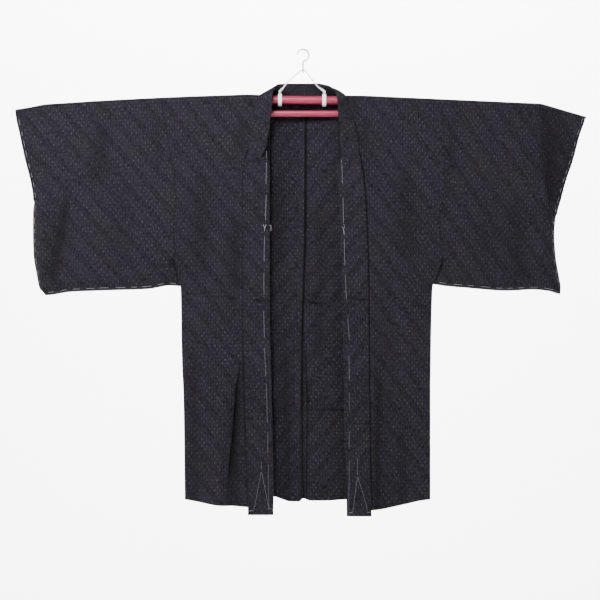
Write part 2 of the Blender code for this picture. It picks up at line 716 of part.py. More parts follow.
def himo_loops():
    """A small loop for the front cord on each lapel: the left on its face, the right behind."""
    for side, inward, facing in (("left", 1, -1), ("right", -1, 1)):
        edge = smooth(LAPEL_EDGE, "z", side, LOOP_Z)
        lapel_y = -depth("front", edge, LOOP_Z)
        if facing < 0:
            lapel_y -= 2 * PRESSED_FOLD
        y = lapel_y + facing * (BAND / 2 + SEAM + LOOP_WIRE)
        tip = arc((edge - inward * LOOP_REACH, y, LOOP_Z), LOOP_RADIUS, pi / 2, -pi / 2, 8, "XZ")
        if inward < 0:
            tip = arc((edge + LOOP_REACH, y, LOOP_Z), LOOP_RADIUS, pi / 2, 1.5 * pi, 8, "XZ")
        root = -inward * LOOP_LENGTH
        route = [tip[0] + Vector((root, 0, 0))] + tip + [tip[-1] + Vector((root, 0, 0))]
        tube("himo_loop_" + side, route, LOOP_WIRE, NIGHT, 0.9, resolution=2)


for old in list(bpy.data.objects):
    bpy.data.objects.remove(old, do_unlink=True)

collection = bpy.data.collections.new("haori_on_hanger")
bpy.context.scene.collection.children.link(collection)

for half in ("left", "right"):
    sheet("body_" + half, body_rows(half), CLOTH)
    sheet("sleeve_" + half, sleeve_rows(half), CLOTH)
    sheet("gusset_" + half, gusset_rows(half), CLOTH)
    sheet("hem_turnup_" + half, turnup_rows(half), CLOTH)
sheet("collar", collar_rows(), BAND)
himo_loops()
hanger()
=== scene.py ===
"""The looks of a haori jacket hanging open on a kimono hanger.

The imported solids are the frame. Each cloth solid is replaced by a thin shell with the
same hang, finer and creased; the hanger's own pieces are finished or replaced too.
Tables and curves are in millimetres, in the frame's axes: +Z up, the fronts face -Y.
"""

from math import cos, pi, radians, sin

import bpy
import bmesh
import numpy as np
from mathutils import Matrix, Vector
from mathutils.bvhtree import BVHTree


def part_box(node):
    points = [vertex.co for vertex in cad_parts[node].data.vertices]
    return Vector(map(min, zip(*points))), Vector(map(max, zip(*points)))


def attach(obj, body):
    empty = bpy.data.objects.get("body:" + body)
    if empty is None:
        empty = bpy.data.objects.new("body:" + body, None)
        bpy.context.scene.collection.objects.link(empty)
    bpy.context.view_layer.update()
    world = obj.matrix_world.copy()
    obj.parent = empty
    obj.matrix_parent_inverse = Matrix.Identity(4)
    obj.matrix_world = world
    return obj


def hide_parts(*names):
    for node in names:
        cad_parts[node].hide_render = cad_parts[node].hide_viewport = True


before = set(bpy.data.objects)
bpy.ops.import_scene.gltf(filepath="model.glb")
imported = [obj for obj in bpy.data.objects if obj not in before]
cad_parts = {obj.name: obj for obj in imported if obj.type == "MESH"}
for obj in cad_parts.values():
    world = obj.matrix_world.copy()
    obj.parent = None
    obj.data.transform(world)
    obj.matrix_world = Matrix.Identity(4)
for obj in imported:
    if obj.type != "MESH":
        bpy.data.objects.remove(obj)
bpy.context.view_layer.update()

MM = 0.001
SIDES = {"left": -1, "right": 1}
ALONG_X, ALONG_Y, ALONG_Z = np.eye(3)

# ------------------------------------------------------------------ the cut and the hang

BAR_Z = -120.0             # centre of the shoulder bar in the middle
OVER_BAR = 11.05           # bar's centre to the middle of the cloth
SWELL = {"front": 6.0, "back": 3.0}     # how far the cloth stands off, below the bar
SWELL_HEIGHT = 260.0
NECK_BULGE = 9.0           # the back of the neck hangs clear of the bar and its rings
NECK_BULGE_HALF = 92.0
NECK_BULGE_DROP = 170.0
NECK_CENTRE = 1.0
NECK_DEPTH = 8.0           # drop of the back neck below the bar's centre
SEWN_END = -500.0          # lowest point at which the sleeve is sewn to the body
WRIST_END = {"left": -362.0, "right": -396.0}
CLOSING = 28.0             # width over which two layers come together at a closed edge
SLIT_END = 6.0
NEAREST = 2.2              # layers nearer than this to the middle meet there
SIDE_HALF_DEPTH = 8.0
SIDE_BLEND = 60.0
SLEEVE_GAP = 0.5
SLEEVE_GAP_BLEND = 40.0
LAPEL_BELOW_HEM = {"left": 18.5, "right": 14.0}
HEM_FOLD = -862.5          # top of the turned-up hem
HEM_RELIEF = 0.7           # how far the turned-up hem stands through a front
HEM_HALF = 330.0
CUFF_FOLD = 13.0           # width of the cuff's own hem
CUFF_RELIEF = 0.5

CLOTH = 0.8                # thickness of one cloth shell
BAND = 1.3                 # thickness of one layer of the folded collar band
SEAM = 0.12                # half-open line between sewn pieces
SEAM_DIP = 1.0             # how far the cloth turns in at a seam
SEAM_DIP_WIDTH = 2.0
LAPEL_CRACK = {"left": 1.0, "right": 2.6}   # the same, beside a lapel's free edge
STEP = 5.0                 # spacing of a shell's points
ROW_STEP = 5.5
# Unevenness of a hanging layer: height, squeeze along z and length of its waves.
RIPPLES = ((0.9, 0.45, 150), (0.35, 0.6, 46))
RIPPLE_SEEDS = {"front": (3, 5), "back": (13, 15)}
RIPPLE_FROM = 60.0         # height below the bar over which the waves begin
SEAM_FROM = 12.0           # and the seams' dips


def table(columns, *rows):
    """Named columns of numbers, as arrays."""
    return dict(zip(columns.split(), np.array(rows, float).T))


def folds(*rows):
    """Straight folds, each from its first end to its second."""
    return table("x0 z0 x1 z1 width depth", *rows)


def lerp(a, b, t):
    return a + (b - a) * t


def ease(t):
    """0 below 0, 1 above 1, and a smooth step between."""
    t = np.clip(t, 0.0, 1.0)
    return t * t * (3 - 2 * t)


def bell(distance, width, power=2):
    """1 on a line, and less and less away from it."""
    return np.exp(-(distance / width) ** power)


def joined(*parts, axis=0):
    return np.concatenate(parts, axis)


def unit(vectors):
    return vectors / np.linalg.norm(vectors, axis=-1, keepdims=True)


def distance_along(points):
    """How far each point lies along the line of them all."""
    return joined([0], np.cumsum(np.linalg.norm(np.diff(points, axis=0), axis=1)))


def span_at(stops, at):
    """The span between two stops that each place falls in, its width, and the share passed."""
    i = np.clip(np.searchsorted(stops, at, side="right") - 1, 0, len(stops) - 2)
    width = stops[i + 1] - stops[i]
    return i, width, (at - stops[i]) / width


def curve(t, width, start, leaving, end, arriving):
    """A smooth curve across one span, from its ends and its slopes there."""
    return ((1 + 2 * t) * (1 - t) ** 2 * start + t * (1 - t) ** 2 * width * leaving
            + t * t * (3 - 2 * t) * end - t * t * (1 - t) * width * arriving)


def smooth(rows, by, key, at):
    """The table's value at a place: a smooth curve that doesn't overshoot its rows."""
    order = np.argsort(rows[by])
    xs, ys = rows[by][order], rows[key][order]
    slopes = np.diff(ys) / np.diff(xs)
    product, total = slopes[:-1] * slopes[1:], slopes[:-1] + slopes[1:]
    inner = np.where(product > 0, 2 * product / np.where(product > 0, total, 1), 0.0)
    slopes = joined([slopes[0]], inner, [slopes[-1]])
    i, width, t = span_at(xs, np.clip(at, xs[0], xs[-1]))
    return curve(t, width, ys[i], slopes[i], ys[i + 1], slopes[i + 1])


# The line that the cloth folds over: the centre and radius of its half turn.
RIDGE = table(
    "x z radius",
    (-690, -147.6, 5.0), (-655, -144.2, 7.0), (-631, -142.4, 10.0), (-619, -141.2, OVER_BAR),
    (-506, -133.6, OVER_BAR), (-391, -127.4, OVER_BAR), (-276, -122.2, OVER_BAR),
    (-132, -117.4, OVER_BAR), (-98, -118.7, OVER_BAR), (98, -119.8, OVER_BAR), (150, -120.4, OVER_BAR),
    (571, -139.4, OVER_BAR), (592, -143.8, 9.5), (619, -149.8, 7.5), (677, -164.2, 5.0))

# Seam between collar and front, free edge of the flat lapel, side edge of the body
# (its armhole down to SEWN_END) and end of the sleeve, at each height.
FRONT_SEAM = table(
    "z left right",
    (-120, -90, 90), (-170, -104, 106), (-220, -123, 124), (-260, -137, 136), (-311, -142.5, 145.5),
    (-405, -142.5, 152), (-575, -142, 157), (-780, -140.5, 158.5), (-880, -138.0, 159.5),
    (-963, -134.6, 160.5), (-1040, -132.4, 161.6), (-1110, -130.0, 162.5))
LAPEL_EDGE = table(
    "z left right",
    (-260, -79.8, 82.5), (-405, -80.6, 88), (-575, -80.6, 94), (-780, -77.0, 98.4), (-925, -73.5, 100),
    (-1070, -71.0, 104.5), (-1110, -72, 105))
SIDE = table(
    "z left right",
    (-110, -339, 331), (-139, -335, 332), (-218, -321, 337), (-302, -309, 340), (-360, -303, 336),
    (-412, -306, 327), (-500, -306, 331), (-530, -301, 324), (-572, -293, 310), (-740, -290, 306),
    (-840, -286, 305), (-1072, -283, 305))
CUFF = table(
    "z left right",
    (-144, -690, 679), (-161, -688, 677), (-206, -678, 662.5), (-260, -666, 648), (-323, -649.5, 626.5),
    (-357, -644.5, 617.5), (-391, -648, 608), (-441, -648, 603), (-491, -646.5, 606), (-542, -638.5, 614),
    (-570, -632.5, 618.5), (-586, -619, 617))

# Hems: the height of each lower edge across the garment.
FRONT_HEM = table(
    "x z",
    (-283, -1077), (-245, -1083), (-205, -1090), (-130, -1094), (162, -1102), (235, -1089), (270, -1081),
    (305, -1077))
BACK_HEM = table(
    "x z",
    (-283, -1077), (-200, -1080), (-90, -1072), (-68, -1073.5), (-48, -1080), (-31, -1085), (-9, -1085.5),
    (0, -1078), (19, -1083.5), (60, -1083), (104, -1080.5), (305, -1077))
SLEEVE_HEM = table(
    "x z",
    (-690, -588), (-617, -588), (-558, -580), (-490, -577), (-372, -573), (-318, -564.5), (-296, -566),
    (309, -561.5), (338, -565.5), (388, -570), (492, -577.3), (553, -574.4), (590, -578), (617, -585),
    (690, -585))
CENTRE_SEAM = table(
    "z x",
    (-1085, 0.5), (-1040, -2.5), (-860, -4.2), (-720, -3.6), (-640, -2.4), (-575, -0.2), (-450, 3.6),
    (-120, 5.4))
BACK_NECK = table(
    "drop half",
    (-OVER_BAR, 89), (-7.8, 86.5), (-4.2, 83), (0, 75), (3, 58), (6, 34), (8, 0))

# Soft folds, as straight troughs (or ridges, with a depth below 0), from their first
# end to their second, fading at both. The first rows are the solids' own folds, and
# the rest are smaller creases: where the cloth was folded away, and where it pulls.
FRONT_FOLDS = folds(
    (-562, -350, -600, -560, 17, 6.5), (-640, -300, -615, -540, 12, -3.0),
    (-420, -300, -450, -560, 30, 2.5), (600, -140, 590, -390, 24, 3.5), (560, -200, 575, -480, 16, -3.0),
    (430, -300, 440, -560, 34, 2.5), (-175, -320, -178, -680, 20, 3.0),
    (-156, -750, -166, -1150, 17, 8.0), (-190, -760, -205, -1150, 12, -3.5),
    (200, -380, 190, -1150, 24, 3.0), (262, -600, 268, -1150, 22, -2.5))
BACK_FOLDS = folds(
    (-200, -400, -190, -1150, 40, 4.0), (-60, -560, -50, -1150, 24, 3.5), (70, -420, 62, -1150, 34, 3.0),
    (220, -400, 215, -1150, 40, 4.0), (-480, -260, -500, -560, 40, 3.0), (480, -260, 500, -560, 40, 3.0))
FRONT_CREASES = folds(
    # left sleeve: its hanging fold, then smaller pulls
    (-560, -345, -571, -400, 7, 1.8), (-571, -385, -570, -450, 9, 1.3), (-569, -430, -590, -500, 12, 1.3),
    (-586, -490, -599, -565, 13, 1.2), (-372, -519, -298, -516, 3.5, 1.6),
    (-352, -150, -344, -300, 9, 1.2), (-470, -160, -500, -330, 22, 1.6),
    (-640, -180, -600, -330, 18, -1.6),
    # right sleeve: past the end of the bar, then smaller pulls
    (573, -146, 566, -235, 6, -1.6), (566, -215, 579, -335, 6, -1.8), (576, -310, 592, -395, 6, -1.4),
    (592, -165, 600, -385, 14, 0.9), (634, -200, 598, -400, 9, -1.4), (360, -150, 352, -300, 10, 1.3),
    (500, -330, 520, -560, 18, 1.6),
    # beside the collar
    (-150, -160, -147, -238, 15, 1.6), (-160, -372, -161, -590, 15, 1.7), (138, -165, 152, -235, 13, 1.6),
    # where the fronts were folded away, then their own hang
    (-276, -587, -238, -588, 2.8, 2.0), (-232, -590, -150, -596, 2.8, 0.9),
    (236, -593, 301, -622, 3.0, 2.0), (165, -600, 228, -594, 3.0, 1.0),
    (-290, -858, -150, -861, 3.0, 0.7), (172, -861, 300, -858, 3.0, 0.7),
    (-240, -250, -246, -560, 26, 1.5), (240, -240, 250, -520, 26, 1.5),
    (-262, -640, -258, -1140, 12, 1.6), (182, -700, 176, -1140, 8, 2.0), (232, -850, 240, -1150, 12, 1.6))
BACK_CREASES = folds(
    (4, -583, 42, -593, 2.8, 2.4), (5, -606, 48, -612, 2.8, 2.2), (36, -590, 100, -602, 3.0, 1.2),
    (-270, -590, -120, -586, 3.0, 1.0), (140, -596, 290, -590, 3.0, 1.0),
    (-290, -858, -10, -861, 3.0, 0.7), (10, -861, 300, -858, 3.0, 0.7), (-42, -640, -36, -1140, 9, 1.8),
    (40, -300, 36, -760, 12, 1.3), (-62, -240, -52, -520, 14, 1.3), (-560, -300, -590, -570, 14, 2.0),
    (-380, -200, -400, -520, 24, 1.6), (380, -200, 392, -520, 24, 1.6), (570, -300, 590, -570, 14, 2.0),
    (150, -640, 160, -1150, 16, 2.0), (-140, -640, -130, -1150, 16, 2.0))

# Painted shade lines where the cloth laps over itself, with a depth from 0 to 1 for how dark.
FRONT_SHADE_LINES = folds((-141.6, -712, -136.8, -935, 2.2, 0.5))
BACK_SHADE_LINES = folds(
    (4.5, -690, 11.5, -862, 1.9, 0.85), (11.0, -770, 8.0, -1180, 1.9, 0.85),
    (-14, -586, 36, -610, 1.8, 0.7), (-16, -600, 62, -609, 1.6, 0.6))
LAPEL_CREASES = folds(
    (-126, -600, -82, -602, 2.4, 3.0), (-130, -618, -96, -616, 2.6, 1.0), (97, -596, 160, -600, 2.6, 4.0),
    (112, -612, 158, -616, 2.6, 1.2), (-136, -858, -80, -861, 3.0, 0.8), (104, -862, 158, -858, 3.0, 0.8))
PLEAT = table(
    "z x",
    (-745, -149), (-769, -152.7), (-814, -160), (-900, -167), (-996, -176.6), (-1046, -179.7),
    (-1110, -182))
# Where the right sleeve sags past the end of the bar: the dent's two sides.
DENT = table(
    "z inner outer",
    (-130, 578, 602), (-172, 573, 628), (-201, 570, 646), (-222, 568, 652), (-237, 568, 650),
    (-270, 570, 642), (-323, 578, 626), (-381, 592, 609), (-425, 599, 605))
# The rolled part of the collar, a row for each section, by the length of the neckline
# from the middle of the back. roll is the fold line and edge the free edge.
COLLAR = {
    "left": table(
        "run roll_x roll_y roll_z edge_x edge_y edge_z",
        (0, 3, 24, -79, 3, 30, -112), (38, -34, 23, -79, -34, 29, -112),
        (68, -59, 18, -81, -72, 24, -110), (88, -67, 8, -87, -91, 14, -107),
        (104, -72, 0, -92, -99, 1, -105.6), (116, -73, -14, -97, -104, -13, -110),
        (122, -75, -26, -111, -108, -17, -122), (137, -75.5, -31, -130, -114, -18, -142),
        (173, -77.2, -29.5, -165, -124.5, -19, -173), (196, -79, -29, -188, -126.5, -19.5, -194),
        (216, -83.5, -28, -208, -128, -20, -214), (236, -86.5, -27.5, -228, -129.5, -21, -233),
        (252, -94, -27, -246, -130, -21, -250), (263, -99, -25.5, -257, -133, -20, -258),
        (273, -101, -23.5, -267, -136, -21, -268), (285, -100, -21, -279, -139, -19.5, -280),
        (298, -96, -18.6, -292, -141, -18.6, -292)),
    "right": table(
        "run roll_x roll_y roll_z edge_x edge_y edge_z",
        (0, 3, 24, -79, 3, 30, -112), (38, 37, 23, -79, 37, 29, -112), (68, 54, 18, -82, 70, 24, -110),
        (88, 66, 8, -87, 90, 15, -107), (104, 73, 0, -92.5, 97.5, 1, -105.6),
        (116, 79, -14, -99, 102, -13, -110), (122, 82, -27, -113, 105, -17, -122),
        (137, 84.5, -33, -130, 111, -18, -142), (173, 87, -29, -165, 121, -19, -173),
        (216, 91, -24, -208, 130, -20, -214), (236, 94, -22.5, -228, 133, -21, -233),
        (252, 97, -22, -246, 133, -22, -250), (263, 98, -21, -257, 136, -22, -258),
        (273, 98, -19.5, -267, 138.5, -21, -268), (285, 96, -19, -279, 141, -19.5, -280),
        (298, 94, -18.6, -292, 143.5, -18.6, -292))}
FREE_EDGE_IN = table(
    "z left right",
    (-260, -0.6, 1.6), (-650, -0.6, 1.6), (-720, 1.3, 1.6), (-1030, 1.3, 1.6), (-1060, -1.0, -1.0))
GUSSET = table("share deep", (0.0, 7), (0.06, 9), (0.2, 13), (0.4, 18), (0.6, 22), (0.8, 26), (1.0, 29))
# The allowances' section: distance from the seam, and rise off the cloth.
ALLOWANCE = table(
    "x rise",
    (-12.5, 0.75), (-12.2, 1.05), (-9, 1.2), (-6, 1.7), (-3.2, 2.8), (-1.2, 4.2), (0.3, 4.7), (1.0, 4.2),
    (0.8, 2.0))
FOLDS = {"front": FRONT_FOLDS, "back": BACK_FOLDS}
CREASES = {"front": FRONT_CREASES, "back": BACK_CREASES}
SHADE_LINES = {"front": FRONT_SHADE_LINES, "back": BACK_SHADE_LINES}
FOLD_FADE_IN = 0.3
FOLD_FADE_OUT = 0.12
# How far outside its two lines the dent begins, and over which width; then its top and
# its lowest point, and over which height it fades there.
DENT_INNER, DENT_OUTER = (3, 7), (5, 13)
DENT_TOP, DENT_LOW = (-128.0, 20), (-430.0, 60)
DENT_DEPTH = 4.5
# Painted shade inside the dent, on top of its depth.
DENT_SHADE = 0.24
PLEAT_DEPTH = 6.0
PLEAT_WIDTH = 22.0
PLEAT_REACH = 90.0
PLEAT_EDGE = 1.6           # width over which the cloth drops at the pleat's edge
PLEAT_LIP = 1.6            # how far its edge stands forward, and over which width
PLEAT_LIP_WIDTH = 9.0
PLEAT_SLOT = 5.5           # depth of the narrow fold right behind that edge
PLEAT_SLOT_IN = 1.4
PLEAT_SLOT_WIDTH = 1.5
# How the pleat opens and closes down its length: the height over which it opens, where
# it starts to close, over which height and by which share. First its form, then its line.
PLEAT_FORM = (110, -980, 85, 0.9)
PLEAT_LINE = (40, -975, 70, 0.95)

ROLL_FOLD = 2.8            # radius of the fold along the roll line
ROLL_TIP = 5.0
BAR_LIFT = 0.7
BAND_COLUMNS = 4           # columns between two guide points of a section
LAYER_RISE = 1.7           # from the band's lower layer to its upper one, pressed flat
FOLD_IN = 2.6              # from the lapel's edge to the middle of its fold
ROLL_BULGE = (1.3, 0.2)    # how far the fold bulges past the roll line, soft and pressed flat
LIP_DEPTH = 7.0            # depth of the pocket under the soft roll, over the pressed fold
LIP_ROUND = 0.14           # share of that depth over which the roll turns into it
LIP_LIFT = 0.6             # how far the pocket stands off the pressed fold
LIP_RETURN = (0.42, 0.3)   # shares of the way back up, and of its depth, where it bends
BEND_OUT = 3.0             # from the roll line to where the upper layer bends down
CREASE_OUT = 0.9           # how far the pressed fold's crease lies past its edge
LAPEL_DENT = 0.5           # depth of the lapels' creases, as a share of their strength
CREASE_FROM = 152.0        # length of the neckline at which the pressed fold starts
CREASE_OVER = 26.0
PRESSED_FROM = 264.0       # and at which the soft roll has sunk into it
PRESSED_OVER = 28.0
LAPEL_SINK = 0.25          # how far a lapel's fold lies in the cloth behind it
# Rows that carry each lapel below its hem, as shares of that length, and the painted shade on them that
# darkens the lapel's lower edge.
LAPEL_END_ROWS = np.array((0.5, 0.8, 0.93, 1.0))
LAPEL_END_SHADE = np.array((0, 0, 0.5, 0.9))
GUSSET_TOP = -545.0
GUSSET_WIDTH = 30.0        # half of the gusset's cloth, from its fold to its seam
GUSSET_ROUND = 1.25        # how round its fold is, seen from above, and how full its sides are
GUSSET_FULL = 0.8
GUSSET_GAP = 0.3
GUSSET_WAVE = 0.8
TURNUP_GAP = 0.5
TURNUP_REACH = 0.9         # share of the back panel's width that it takes
TURNUP_OFF_SEAM = 0.4
TURNUP_OFF_HEM = 0.9
TURNUP_LOOSE_FROM = -1060.0    # height at which it starts to stand off in waves
TURNUP_LOOSE_OVER = 40.0
ALLOWANCE_SPAN = (BAR_Z - 14, HEM_FOLD - 2)
ALLOWANCE_WANDER = 0.06    # how unevenly the allowances lie, as shares of their width and rise
ALLOWANCE_LIFT = 0.25
ALLOWANCE_STEP = 3.0       # width of cloth from one of their columns to the next
GRAIN_TILT = radians(4.0)  # slope of the sleeves' grain

# Painted shade, which darkens the cloth's colour on top of the shading of its shape: in soft folds and
# creases, along the pleat, the seams, the armholes, the turned-up hem's edge and the allowance's fold, in
# the corners inside the neck and along the band's fold. The seams' and the hem's lines are painted darker
# on the right, away from the lamps.
FOLD_SHADE = {"front": 0.045, "back": 0.02}    # how much darker a soft fold looks, for each mm
CREASE_SHADE = 0.2         # and in a sharp crease
PLEAT_SHADE = 0.85         # on the pleat's line, and beside it: how dark, how wide, how far
PLEAT_SHADE_BESIDE = 0.3
PLEAT_SHADE_WIDTH = 15.0
PLEAT_SHADE_REACH = 60.0
SEAM_SHADE = {"front left": 0.55, "front right": 0.95, "back left": 0.5, "back right": 1.0}
SEAM_SHADE_WIDTH = {"front": 2.4, "back": 4.6}
SEAM_SHADE_FROM = 12.0     # height below the bar at which a seam's line starts
SEAM_SHADE_OVER = 25.0
ARMHOLE_SHADE = 0.3
ARMHOLE_SHADE_OVER = 30.0
HEM_LINE_SHADE = {"left": 0.3, "right": 0.85}
HEM_LINE_WIDTH = 2.2
ALLOWANCE_SHADE_WIDTH = 2.3
NECK_SHADE = 0.85          # the dark corners inside the neck
NECK_SHADE_FROM = {"left": 52.0, "right": 36.0}
NECK_SHADE_OVER = 22.0
NECK_SHADE_END = 108.0
NECK_SHADE_FADE = 10.0
FOLD_EDGE_SHADE = 0.8
LINE_WIDTH = 1.6           # width of an armhole's line, and of the fold's along the collar


# ------------------------------------------------------------------ where the cloth hangs

def ridge(x):
    return np.interp(x, RIDGE["x"], RIDGE["z"])


def ridge_radius(x):
    return np.interp(x, RIDGE["x"], RIDGE["radius"])


def front_seam(side, z):
    return smooth(FRONT_SEAM, "z", side, z)


def side_edge(side, z):
    return smooth(SIDE, "z", side, z)


def cuff_edge(side, z):
    return smooth(CUFF, "z", side, z)


def hem_height(hem, x):
    return smooth(hem, "x", "z", x)


def centre_seam(z):
    """The back's middle line: the neck's centre at the top, and the seam below it."""
    return lerp(NECK_CENTRE, smooth(CENTRE_SEAM, "z", "x", z), ease((BAR_Z - z - 4) / 4))


def sleeve_edge(side, z):
    free = SLEEVE_GAP * ease((SEWN_END - z) / SLEEVE_GAP_BLEND)
    return side_edge(side, z) + SIDES[side] * (SEAM + free)


def neck_edge(side, z):
    """Inner edge of the back panel: the curve of the neck, then the centre seam."""
    drop = BAR_Z - z
    half = np.where(drop < NECK_DEPTH, smooth(BACK_NECK, "drop", "half", drop), 0.0)
    return centre_seam(z) + SIDES[side] * np.maximum(half, SEAM / 2)


def inner_edge(side, layer, z):
    return front_seam(side, z) if layer == "front" else neck_edge(side, z)


def ripple(x, z, size, seed):
    """A gentle unevenness from -1 to 1, made of waves in several directions."""
    draw = np.random.default_rng(seed)
    total = 0.0
    for _ in range(6):
        angle, phase, stretch = draw.uniform(0, pi), draw.uniform(0, 2 * pi), draw.uniform(0.7, 1.5)
        total = total + np.sin((x * cos(angle) + z * sin(angle)) * 2 * pi * stretch / size + phase)
    return total / 3.5


def troughs(rows, x, z):
    """How far the folds of a table push the cloth inward at each place."""
    total = np.zeros(np.broadcast(x, z).shape)
    for x0, z0, x1, z1, width, depth in zip(*rows.values()):
        run_x, run_z = x1 - x0, z1 - z0
        long = run_x ** 2 + run_z ** 2
        t = ((x - x0) * run_x + (z - z0) * run_z) / long
        off = np.abs((x - x0) * run_z - (z - z0) * run_x) / long ** 0.5
        fade = ease(t / FOLD_FADE_IN) * ease((1 - t) / FOLD_FADE_OUT)
        total += depth * fade * bell(off, width)
    return total


def dent(x, z):
    """The dent of the right sleeve, from 0 outside it to 1 inside."""
    inner, outer = smooth(DENT, "z", "inner", z), smooth(DENT, "z", "outer", z)
    inside = ease((x - inner + DENT_INNER[0]) / DENT_INNER[1])
    inside *= ease((outer + DENT_OUTER[0] - x) / DENT_OUTER[1])
    return inside * ease((DENT_TOP[0] - z) / DENT_TOP[1]) * ease((z - DENT_LOW[0]) / DENT_LOW[1])


def pleat(x, z, opens, closes_from, closes_over, closed):
    """Distance across from the pleat's edge, and how far open it is at each height."""
    opened = ease((PLEAT["z"][0] - z) / opens) * (1 - closed * ease((closes_from - z) / closes_over))
    return x - smooth(PLEAT, "z", "x", z), opened


def layer_depth(layer, x, z):
    """Distance of a layer from the plane of the bar, as a positive number."""
    drop = ridge(x) - z
    out = ridge_radius(x) + SWELL[layer] * ease(drop / SWELL_HEIGHT) - troughs(FOLDS[layer], x, z)
    pushed_in = troughs(CREASES[layer], x, z)
    if layer == "front":
        out -= pushed_in + DENT_DEPTH * dent(x, z)
        across, opened = pleat(x, z, *PLEAT_FORM)
        out -= (PLEAT_DEPTH * opened * ease((across + PLEAT_EDGE / 2) / PLEAT_EDGE)
                * bell(np.maximum(across, 0), PLEAT_WIDTH) * (across < PLEAT_REACH))
        out += PLEAT_LIP * opened * bell(np.minimum(across, 0), PLEAT_LIP_WIDTH) * (across < 0)
        out -= PLEAT_SLOT * opened * bell(across - PLEAT_SLOT_IN, PLEAT_SLOT_WIDTH)
        out += HEM_RELIEF * ease((HEM_FOLD - z) / 3) * (np.abs(x) < HEM_HALF)
    else:
        out -= pushed_in
        across = np.minimum(np.abs(x - NECK_CENTRE) / NECK_BULGE_HALF, 1.0)
        out += NECK_BULGE * (1 - across ** 2) * bell(np.maximum(drop, 0), NECK_BULGE_DROP)
    waves = [high * ripple(x, z * squeeze, long, seed)
             for (high, squeeze, long), seed in zip(RIPPLES, RIPPLE_SEEDS[layer])]
    return out + ease(drop / RIPPLE_FROM) * (waves[0] + waves[1])


def painted_shade_map(layer, x, z):
    """Painted shade at each place of a layer, from 0 to 1: darker in its folds and creases, on its shade
    lines, in the dent and along the pleat.
    """
    deep = FOLD_SHADE[layer] * np.maximum(troughs(FOLDS[layer], x, z), 0)
    deep += CREASE_SHADE * np.maximum(troughs(CREASES[layer], x, z), 0) + troughs(SHADE_LINES[layer], x, z)
    if layer == "front":
        deep += DENT_SHADE * dent(x, z)
        across, opened = pleat(x, z, *PLEAT_LINE)
        deep += PLEAT_SHADE * opened * bell(across - 1.0, LINE_WIDTH)
        beside = bell(np.maximum(across, 0), PLEAT_SHADE_WIDTH) * (across > 0)
        deep += PLEAT_SHADE_BESIDE * opened * beside * (across < PLEAT_SHADE_REACH)
    return deep


def armhole_line(x, edge, z):
    """The painted shade line along an armhole, as far down as it is sewn."""
    sewn = 1 - ease((SEWN_END - z) / ARMHOLE_SHADE_OVER)
    return ARMHOLE_SHADE * sewn * bell(x - edge, LINE_WIDTH)


# Painted shade on a body layer: that of its folds, with dark lines along its inner edge and its armhole.
def body_painted_shade(side, layer, x, z):
    from_inner = x - inner_edge(side, layer, z)
    line = SEAM_SHADE[layer + " " + side] * bell(from_inner, SEAM_SHADE_WIDTH[layer], 4)
    line = line * ease((ridge(x) - z - SEAM_SHADE_FROM) / SEAM_SHADE_OVER)
    return np.clip(painted_shade_map(layer, x, z) + line + armhole_line(x, side_edge(side, z), z), 0, 1)


def seam_dip(distance):
    return SEAM_DIP * bell(distance, SEAM_DIP_WIDTH)


def closing(distance):
    """Share of the full depth at a distance from an edge where two layers meet."""
    return np.sqrt(1 - (1 - np.clip(distance / CLOSING, 0.0, 1.0)) ** 2)


def body_out(side, layer, x, z):
    """Depth of the body's layers, which come closer at the side edge, below the sleeve."""
    beside = np.abs(x - side_edge(side, z))
    near, low = 1 - ease(beside / SIDE_BLEND), ease((SEWN_END - z) / SIDE_BLEND)
    out = lerp(layer_depth(layer, x, z), SIDE_HALF_DEPTH, near * low)
    out -= seam_dip(beside) * (1 - low)
    deep = LAPEL_CRACK[side] if layer == "front" else 1.0
    from_inner = np.abs(x - inner_edge(side, layer, z))
    return out - deep * seam_dip(from_inner) * ease((ridge(x) - z) / SEAM_FROM)


def sleeve_out(side, layer, x, z, hem):
    """Depth of the sleeve's layers, which meet round its lower edges."""
    from_cuff, from_inner = np.abs(cuff_edge(side, z) - x), np.abs(x - sleeve_edge(side, z))
    shut_wrist = ease((WRIST_END[side] - z) / SLIT_END + 0.5)
    shut_inner = ease((SEWN_END - z) / SLIT_END)
    share = np.minimum(closing(z - hem), 1 - shut_wrist * (1 - closing(from_cuff)))
    share = np.minimum(share, 1 - shut_inner * (1 - closing(from_inner)))
    out = layer_depth(layer, x, z) * share
    out -= seam_dip(from_inner) * (1 - shut_inner)
    out += CUFF_RELIEF * ease((CUFF_FOLD - from_cuff) / 1.5) * (1 - shut_wrist)
    return np.where(out < NEAREST, 0.0, out)


# ------------------------------------------------------------------ grids of points

BESIDE_SEAM = np.linspace(0.018, 0.048, 10)    # extra columns, for the folds beside the seam
BESIDE_PLEAT = np.linspace(0.05, 0.33, 44)     # and for the pleat
FOLDED_AWAY = np.linspace(0.476, 0.524, 26)    # extra rows, for the creases across the middle
ARC_TURNS = np.linspace(pi, 0, 26)[1:-1]
NEAR_ENDS = np.array([0.004, 0.009, 0.015])
NEAR_SLEEVE_HEM = (0.992, 0.997)
TURNUP_ROWS = joined([0, 0.004, 0.009, 0.017], np.linspace(0.03, 0.996, 44), [0.998])[:, None]
# Rough sizes of the pieces, which say how many rows and columns their grids take.
BODY_WIDTH, SLEEVE_WIDTH, TURNUP_WIDTH = 300, 350, 250
BODY_DROP, SLEEVE_DROP = 970, 440
NECK_ROWS = 30
GUSSET_ROWS, GUSSET_COLUMNS = 120, 29
ALLOWANCE_ROWS = 150


def spread(width):
    """Shares from 0 to 1 over a width, closer together at both ends."""
    return np.unique(joined(np.linspace(0, 1, round(width / STEP)), NEAR_ENDS,
                            1 - NEAR_ENDS))


